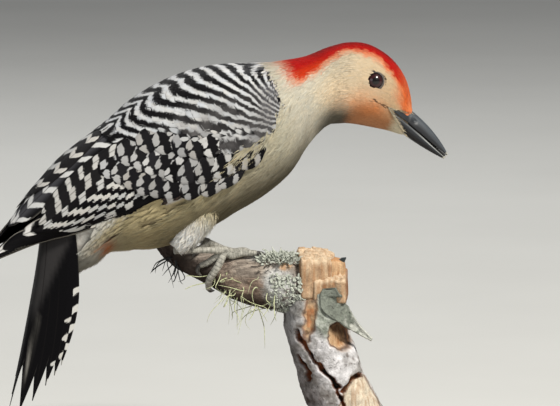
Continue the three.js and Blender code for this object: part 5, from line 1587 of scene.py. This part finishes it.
def build_arm():
    """The arm: radius times slow swells, plus craggy bark; painted light makes it paler where
    it faces up and painted shade darkens it below and behind; a stringy grey-brown knuckle
    near the knob, pale crust where it meets the stem."""
    relief = lambda u, a: 1 + 0.035 * np.sin(3 * a + 1.7 * u) + 0.025 * np.sin(5 * a - 2.9 * u)
    p, u, a = limb_points(ARM, steps=30, sides=130, relief=relief)
    centre = smooth_row(ARM, u)[..., :3]
    out = unit(p - centre)
    bumps = 0.5 * crags(p, 5.0, 3) + 0.3 * crags(p * [0.45, 1, 1], 1.6, 9) + 0.22 * lumps(p * [0.12, 1, 1], 0.9, 10)
    knuckle = np.exp(-((u - 1.35) / 0.75)**2)
    p = p + out * (bumps * (0.8 + 0.6 * knuckle))[..., None]
    near_end = 0.35 + 0.65 * np.sqrt(np.clip(u / 0.5, 0, 1))
    far_end = 0.1 + 0.9 * np.sqrt(np.clip((8 - u) / 0.1, 0, 1))
    p = centre + (p - centre) * (near_end * far_end)[..., None]
    up, x, z = out[..., 2], p[..., 0], p[..., 2]
    tone = crags(p * [0.6, 1, 1], 3.4, 21)
    crust = blot(x, z, (20.5, 79.5), (7.0, 8.5), 20) * (out[..., 1] < 0.2) + ease(0.75, 1.0, up) * ease(4, 12, x)
    crust = np.clip(crust, 0, 1) * ease(-0.5, 0.1, crags(p, 2.6, 40) + 0.1)
    stub = blot(x, z, (22.5, 88.6), (2.8, 2.4)) * (out[..., 1] < 0.3)
    # painted light and shade: the paler layers grow where the bark faces up, and the two dark ones lie below and
    # behind, where the arm is in shade
    tint = paint(lin(96, 82, 72), (168, 156, 144, ease(-0.4, 0.4, tone + 0.7 * up)),
                 (160, 138, 122, 0.85 * ease(-8, 0, x) * ease(-0.8, -0.1, up + 0.4 * tone)),
                 (176, 168, 156, 0.6 * ease(-4, 4, x) * ease(-0.1, 0.5, up + 0.6 * tone)),
                 (44, 32, 28, 0.9 * ease(-3, -9, x + 5 * up) * ease(0.75, 0.2, up + 0.2 * tone)),
                 (36, 28, 24, 0.75 * ease(-0.35, -0.85, up + 0.2 * tone)), (196, 198, 196, 0.85 * crust),
                 (206, 168, 128, 0.8 * stub * ease(-0.4, 0.2, crags(p, 1.8, 41))))
    piece = bark_piece("perch_arm_bark", p, tint, stub, np.clip(1 - crust, 0, 1) * 0.9)
    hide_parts("perch_arm")


CRACKS = [[[27.6, 62.0], [28.3, 59.2], [30.7, 55.9], [33.6, 51.7], [35.2, 48.2]],
          [[36.4, 48.0], [38.6, 45.0], [42.1, 41.4], [44.6, 36.4], [46.6, 31.1], [48.0, 24.0]],
          [[46.4, 37.0], [48.7, 39.9], [51.5, 42.6], [55.6, 43.8]], [[28.4, 51.0], [32.2, 44.0], [33.0, 40.5]]]


def stem_surface(u, a):
    """The stem's plain outline: rings square to its path, radius times slow swells round it."""
    s = smooth_row(STEM, u)
    relief = 1 + 0.04 * np.sin(2 * a + 1.1 * u) + 0.03 * np.sin(5 * a - 2.3 * u)
    along = ahead_of(STEM, u)
    side = unit(np.cross(along, np.array([0.0, 1, 0])))
    front = np.cross(along, side)
    reach = s[..., 3] * relief
    return s[..., :3] + (side * np.cos(a)[..., None] + front * np.sin(a)[..., None]) * reach[..., None], s[..., :3]


def build_stem():
    """The stem: pale bark under a white crust, split by slanting cracks with rust in them; a
    plate of grey-green bark stands off it at the front over a hollow, bare wood shows in
    the hollow, along a torn strip and low down on one side, and the top is bare under the
    broken knob. A pool of painted light lies on the front, painted shadow fills the hollow
    and its rim, and painted shade darkens the side facing -X. Every mark is told from its
    place in side view."""
    u = np.linspace(1.0, 8, 330)
    a = full_turn(240)
    uu, aa = np.meshgrid(u, a, indexing="ij")
    p, centre = stem_surface(uu, aa)
    out = unit(p - centre)
    front = ease(-0.15, 0.3, -out[..., 1])
    x, z = [p[..., axis] + (lumps(p, 3.0, seed) * 0.8 + lumps(p, 1.2, seed + 2) * 0.35)
            for axis, seed in ((0, 6), (2, 7))]
    line = np.interp(x, [27, 30, 34.6, 35.4, 43.6, 44.6, 47, 52], [80, 74.6, 74.6, 79.2, 79.0, 72.0, 69.5, 72])
    line = line + (1 - front) * (82 - line)
    bare_top = ease(line - 0.3, line + 0.3, z)
    strip = blot(x, z, (32.4, 66.6), (2.3, 9.0), -8) * front
    hollow = blot(x, z, (45.6, 59.6), (5.0, 6.0), 25) * front
    low_wood = ease(47.5, 49.5, x + 0.35 * (41.5 - z)) * ease(44.0, 41.5, z + 0.5 * lumps(p, 2.2, 16)) * front
    cracks = np.minimum.reduce([off_line(x, z, line) for line in CRACKS])
    crack = ease(1.15, 0.35, cracks + 0.3 * lumps(p, 2.0, 17)) * front
    back_crack = ease(0.5, 0.2, np.abs(lumps(p * [1, 1, 0.25], 5.0, 19))) * (1 - front)
    plate = np.clip(blot(x, z, (40.0, 69.8), (6.9, 9.8), 6) * 1.4, 0, 1) * front * (1 - bare_top)
    oval = np.clip(blot(x, z, (27.6, 73.6), (3.4, 5.6)) * 1.4, 0, 1) * front
    gone = np.maximum.reduce([bare_top, strip, hollow, low_wood])
    bark = 1.3 * (1 - gone) + (0.7 * crags(p, 5.0, 31) + 0.4 * crags(p, 1.7, 33)) * (1 - 0.6 * gone)
    fibres = 0.3 * lumps(p * [1, 1, 0.12], 1.1, 14) * gone
    raised = plate * (1 - hollow) + 0.8 * oval
    p = p + out * (bark + fibres - 0.7 + raised - 2.4 * crack - back_crack - 2.2 * hollow)[..., None]
    p[..., 2] = np.maximum(p[..., 2], STEM_CUT_Z)
    top = p[0].mean(0) + (p[0] - p[0].mean(0)) * np.array([0.03, 0.4, 0.8])[:, None, None] + np.array([0, 0, 0.6])
    bottom = p[-1].mean(0) + (p[-1] - p[-1].mean(0)) * np.array([0.6, 0.05])[:, None, None]
    bottom[..., 2] = STEM_CUT_Z
    tone, slow = crags(p, 3.2, 61), lumps(p, 9.0, 63)
    # painted light: a pale patch on the front, a pool of light
    lit = ease(0.3, 0.7, blot(x, z, (42.5, 50.5), (9.5, 10.0), 30)) * front * (0.55 + 0.4 * tone)
    tint = paint(lin(150, 146, 142), (208, 206, 206, ease(-0.35, 0.3, tone + 0.3 * slow)), (232, 230, 232, lit))
    green = paint(lin(128, 134, 122), (176, 180, 170, ease(-0.3, 0.4, crags(p, 1.5, 65))))
    tint = paint(over(tint, green, 0.95 * plate), (158, 156, 152, 0.7 * oval),
                 (104, 94, 88, 0.75 * ease(-0.3, -0.55, tone - 0.2 * slow)))
    wood = paint(lin(210, 176, 138), (176, 134, 96, ease(-0.2, 0.5, crags(p * [1, 1, 0.3], 2.4, 67))),
                 (226, 214, 192, ease(48, 42, z)), (176, 104, 58, 0.6 * strip * ease(-0.1, 0.5, lumps(p, 1.6, 68))),
                 (70, 50, 40, 0.8 * strip * ease(0.0, 0.45, crags(p, 1.7, 69))))
    # painted shadow: dark in the hollow and round its rim, most towards its upper side
    rim = ease(0.12, 0.4, hollow) * ease(0.9, 0.5, hollow)
    upper = ease(-2.5, 3.0, (z - 59.6) + 0.6 * (x - 45.6))
    shadow = 1.3 * rim * (0.3 + 0.7 * upper) + 0.9 * hollow * ease(0.5, 1.0, upper)
    tint = paint(over(tint, wood, gone), (128, 70, 38, ease(0.1, 0.6, crack) * (1 - hollow)),
                 (26, 18, 14, ease(0.5, 0.95, crack) * ease(-0.35, 0.2, lumps(p, 2.6, 70))),
                 (22, 15, 12, np.clip(shadow, 0, 1)),
                 (70, 48, 36, 0.7 * ease(0.2, 0.5, gone) * ease(0.95, 0.55, gone)))
    # painted shade: the side facing -X drawn darker, away from the light
    tint = over(tint, tint * 0.35, 0.8 * ease(0.3, 0.95, -out[..., 0]))
    caps = lambda q, colour: np.broadcast_to(lin(*colour), q.shape)
    points = np.concatenate([top, p, bottom])
    tints = np.concatenate([caps(top, (200, 150, 104)), tint, caps(bottom, (190, 150, 108))])
    bare = np.concatenate([np.ones(top.shape[:2]), gone, np.ones(bottom.shape[:2])])
    piece = bark_piece("perch_stem_bark", points, tints, bare)
    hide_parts("perch_stem")


def build_knob():
    """The broken head: split blocks of fresh wood, each a box with slightly rounded edges
    (a direction divided by the fourteenth-power mean of its parts), a slanted top and
    upright splinters down its sides."""
    blocks = [((33.6, -4.2, 83.8), (5.6, 7.6, 9.0), 8, (0.02, 0.22)),
              ((37.4, -1.0, 84.2), (5.0, 8.0, 7.6), -6, (-0.16, 0.16)),
              ((42.4, -5.4, 78.8), (5.6, 6.2, 5.8), -4, (-0.10, 0.26)),
              ((37.4, -9.0, 77.2), (3.6, 3.2, 6.4), 10, (0.05, 0.3)),
              ((38.0, 5.0, 81.0), (8.0, 4.6, 6.5), 14, (-0.1, -0.35))]
    lat = np.linspace(-np.pi / 2 + 0.01, np.pi / 2 - 0.01, 72)[:, None]
    lon = full_turn(96)[None]
    d = zipped(np.cos(lat) * np.cos(lon), np.cos(lat) * np.sin(lon), np.sin(lat))
    d = d / (np.abs(d)**14).sum(-1, keepdims=True)**(1 / 14)
    n = d.shape[:2]
    shapes, tints, bakes = [], [], []
    for number, (centre, half, turn, slant) in enumerate(blocks):
        q = d * half
        w = q + np.array(centre)
        split = 0.45 * lumps(w * [1, 1, 0.08], 1.5, 101 + number) + 0.22 * lumps(w * [1, 1, 0.1], 0.7, 111)
        q = q + unit(q * [1, 1, 0]) * (ease(0.75, 0.5, np.abs(d[..., 2])) * split)[..., None]
        step = 0.8 * np.round(1.2 * lumps(w * [1, 1, 0], 3.4, 121 + number)) + 0.3 * lumps(w * [1, 1, 0], 1.1, 131)
        q[..., 2] += ease(0.0, 1.0, d[..., 2]) * (slant[0] * q[..., 0] + slant[1] * q[..., 1] + step)
        c, s = np.cos(np.radians(turn)), np.sin(np.radians(turn))
        w = zipped(q[..., 0] * c - q[..., 1] * s, q[..., 0] * s + q[..., 1] * c, q[..., 2]) + centre
        w[..., 2] = np.minimum(w[..., 2], KNOB_TOP_Z)
        shapes.append((w, outward(tube_faces(*n), w)))
        # painted light: the tops drawn paler where they face up; the pale blotches on the sides are random
        lit = ease(0.6, 0.95, d[..., 2])
        tints.append(paint(
            lin(192, 162, 130), (154, 122, 94, ease(-0.1, 0.5, crags(w * [1, 1, 0.3], 2.4, 71))),
            (220, 198, 168, 0.85 * lit + 0.35 * (1 - lit) * ease(0, 0.5, lumps(w, 4.0, 73))),
            (110, 66, 42, 0.75 * ease(46.6, 48.0, w[..., 0]))).reshape(-1, 3))
        bakes.append(zipped(np.linspace(0.06, 0.94, n[0])[:, None],
                            (number + np.linspace(0.06, 0.94, n[1])[None]) / len(blocks)).reshape(-1, 2))
    points, faces = gathered(shapes)
    piece = make_piece("perch_knob", points, faces, lichen_bark, {"OFBake": np.concatenate(bakes)},
                       {"kind": np.zeros((len(points), 3)) + [1.0, 0, 0]}, {"tint": np.concatenate(tints)})


def ribbons(name, paths, half, material, thick):
    """Many closed strips: each follows its own path, its section an oval as wide as `half` and
    as thick as `thick`, narrowing to nothing at the tip."""
    count, rings = paths.shape[:2]
    side = unit(np.cross(unit(np.gradient(paths, axis=1)), np.array([0.3, -0.8, 0.5])))
    up = np.cross(side, unit(np.gradient(paths, axis=1)))
    b = full_turn(6)
    size = np.broadcast_to(np.reshape(half, (-1, 1)), (count, rings))
    taper = np.sqrt(np.clip(1 - np.linspace(0, 1, rings)**3, 0.03, 1))
    wide, flat = (size * taper)[..., None, None], (np.minimum(size, thick) * taper)[..., None, None]
    points = paths[:, :, None] + side[:, :, None] * np.cos(b)[None, None, :, None] * wide \
        + up[:, :, None] * np.sin(b)[None, None, :, None] * flat
    faces = many(outward(tube_faces(rings, 6), points[0]), count, rings * 6)
    i = np.arange(count)[:, None, None]
    columns = int(np.ceil(np.sqrt(count)))
    bake = zipped(i % columns + 0.1 + 0.8 * np.linspace(0, 1, rings)[:, None],
                  i // columns + 0.1 + 0.8 * np.arange(6) / 6)
    piece = make_piece(name, points, faces, material, {"OFBake": bake / columns})


def stray(start, toward, length, rings, wander, drop):
    """Loose strands: straight runs that bend by random slow turns and sag by drop * s^2."""
    count = len(start)
    s = np.linspace(0, 1, rings)[None, :, None]
    turn = chance.normal(0, wander, (count, 2, 3))
    bend = turn[:, :1] * np.sin(np.pi * s) + turn[:, 1:] * np.sin(2 * np.pi * s) * 0.5
    line = start[:, None] + unit(toward)[:, None] * (length[:, None, None] * s) + bend
    return line - np.array([0, 0, 1.0]) * drop * s**2


def build_lichen():
    """Lichen: a bushy tuft on the arm by the knob, crusts of small lobes, pale threads hanging
    under the arm, a few dark strands behind the foot, and a dark twig stub and a bark flake."""
    n = 190
    base = np.array([19.5, -3.5, 90.2]) + chance.normal(0, 1, (n, 3)) * [3.6, 2.8, 0.8]
    toward = unit(base - np.array([19.0, -2.0, 86.5]) + chance.normal(0, 1.3, (n, 3)))
    strands = stray(base, toward, chance.uniform(1.8, 4.0, n), 6, 0.4, 0.2)
    ribbons("lichen_tuft", strands, chance.uniform(0.3, 0.7, n), pale_lichen, 0.2)
    n = 260
    place, angle = chance.uniform(0.15, 1.15, n), chance.uniform(-0.4, 1.5, n)
    s = smooth_row(ARM, place)
    out = zipped(0 * angle, -np.cos(angle), -np.sin(angle))
    flat_dir = unit(np.cross(out, chance.normal(0, 1, (n, 3))))
    lobes = stray(s[:, :3] + out * s[:, 3:4] * 1.02, flat_dir + 0.2 * out, chance.uniform(0.8, 1.9, n), 5, 0.2, 0.0)
    ribbons("lichen_crust", lobes, chance.uniform(0.35, 0.75, n), pale_lichen, 0.18)
    n = 40
    place = chance.uniform(0.9, 3.4, n)
    s = smooth_row(ARM, place)
    angle = chance.uniform(-0.2, 1.9, n)
    out = zipped(0 * angle, -np.sin(angle), -np.cos(angle))
    start = s[:, :3] + out * s[:, 3:4] * 0.98
    toward = out * 0.5 + chance.normal(0, 0.7, (n, 3)) + np.array([-0.3, -0.25, -0.55])
    threads = stray(start, toward, chance.uniform(6, 18, n), 14, 1.6, 2.0)
    ribbons("hanging_lichen", threads, chance.uniform(0.11, 0.24, n), thread_lichen, 0.3)
    n = 12
    start = np.array([-23.5, 9.0, 88.0]) + chance.normal(0, 1, (n, 3)) * [1.5, 1.5, 0.8]
    toward = np.array([-0.35, -0.35, -0.8]) + chance.normal(0, 0.45, (n, 3))
    strands = stray(start, toward, chance.uniform(6, 13, n), 11, 1.2, 0.8)
    ribbons("dark_strands", strands, chance.uniform(0.14, 0.28, n), dark_lichen, 0.3)
    stub = np.array([[[42.4, -2.0, 86.4], [44.6, -2.6, 88.4], [46.4, -3.0, 90.0], [47.6, -3.2, 90.9]]])
    ribbons("twig_stub", stub, np.array([1.35]), dark_lichen, 1.2)
    # bark flake: a thin plate curled away from the stem, torn to a point
    rows = [[40.8, 79.6, 2.6], [41.2, 75.2, 4.6], [43.4, 71.2, 4.3], [47.4, 67.2, 2.9], [51.8, 62.4, 1.8],
            [58.2, 57.6, 0.25]]
    s, w = np.meshgrid(np.linspace(0, 1, 90), np.linspace(-1, 1, 41), indexing="ij")
    line = smooth_row(rows, 5 * s)
    ahead = unit((smooth_row(rows, 5 * s + 0.05) - smooth_row(rows, 5 * s - 0.05))[..., :2])
    reach = line[..., 2] * w * (1 + 0.16 * crags(zipped(s * 14, w * 3, 0 * s), 1.3, 77))
    x, z = line[..., 0] - ahead[..., 1] * reach, line[..., 1] + ahead[..., 0] * reach
    # it lies on the stem's front at the top and lifts away to its point
    girth = np.interp(z, STEM[::-1, 2], STEM[::-1, 3]) + 1.7
    aside = np.minimum(np.abs(x - np.interp(z, STEM[::-1, 2], STEM[::-1, 0])), 0.93 * girth)
    y = np.minimum(-np.sqrt(girth**2 - aside**2), -12.9 * ease(74.0, 76.5, z)) - 0.2
    top = zipped(x, y - 2.4 * ease(0.45, 1.0, s) - 0.5 * w * w, z)
    normal = unit(np.cross(np.gradient(top, axis=0), np.gradient(top, axis=1)))
    ring = np.concatenate([top + normal * 0.4, (top - normal * 0.4)[:, ::-1]], 1)
    rough = 0.45 * crags(ring, 2.2, 79) + 0.3 * crags(ring, 0.9, 80)
    ring = ring + rough[..., None] * np.concatenate([normal, normal[:, ::-1]], 1)
    tone = crags(ring, 2.5, 81) + 0.15 * (ring[..., 0] - 50)
    bark_piece("bark_flake", ring, paint(lin(126, 131, 121), (198, 199, 190, ease(-0.4, 0.3, tone))), 0.0)


# ---------------- stage, light and camera


def build_stage():
    """Pale floor, soft key from the upper right in front, weak fill and rim, and the camera."""
    floor = Finish("pale_floor")
    color = floor.blend(floor.grain(floor.place(), 6.0, 4.0), lin(194, 194, 190), lin(204, 204, 200))
    material = floor.done(color, 0.9, Specular_IOR_Level=0.1)
    mesh = bpy.data.meshes.new("floor")
    mesh.from_pydata([(-4, -4, 0), (-4, 4, 0), (4, -4, 0), (4, 4, 0)], [], [(0, 2, 3, 1)])
    mesh.materials.append(material)
    piece = show("floor", mesh)
    world = bpy.data.worlds.new("soft_room")
    world.use_nodes = True
    sky = world.node_tree.nodes["Background"].inputs
    sky[0].default_value, sky[1].default_value = (0.86, 0.88, 0.92, 1), 0.28
    bpy.context.scene.world = world
    for name, place, size, power, color in (
            ("key", (0.75, -0.95, 1.35), 0.3, 42, (1.0, 0.965, 0.90)),
            ("fill", (-1.1, -1.2, 0.5), 0.9, 4.0, (0.9, 0.95, 1.0)),
            ("rim", (-0.3, 1.2, 1.1), 0.7, 8, (1.0, 1.0, 1.0))):
        light = bpy.data.lights.new(name, "AREA")
        light.shape, light.size, light.energy, light.color = "DISK", size, power, color
        holder = show(name, light)
        aim = np.array([0.0, 0, 0.12]) - np.array(place)
        holder.location = place
        tilt = np.arctan2(aim[2], np.hypot(aim[0], aim[1]))
        holder.rotation_euler = (np.pi / 2 + tilt, 0, np.arctan2(-aim[0], aim[1]))
    lens = bpy.data.cameras.new("camera")
    lens.lens, lens.sensor_width, lens.clip_start, lens.clip_end = 407.7, 36, 0.05, 60
    camera = show("camera", lens)
    camera.location = (0.0205, -2.5806, 0.4299)
    camera.rotation_euler = (np.radians(83), 0, 0)
    bpy.context.scene.camera = camera
    bpy.context.scene.view_settings.view_transform = "Standard"


def dress_stand():
    """The stand keeps its solids and gets wood and steel."""
    for node, material in (("stand_base", board_finish()), ("stand_rod", rod_finish())):
        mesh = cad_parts[node].data
        mesh.materials.clear()
        mesh.materials.append(material)


build_stage()
build_skin()
build_soft_plumage()
build_back()
for side in (1, -1):
    build_quills(side)
    build_coverts(side)
    build_wing_blade(side)
    build_eye(side)
    build_foot(side)
    build_thigh_feathers(side)
build_crossed_tertials()
build_tail()
build_bill()
build_bristles()
build_arm()
build_stem()
build_knob()
build_lichen()
dress_stand()
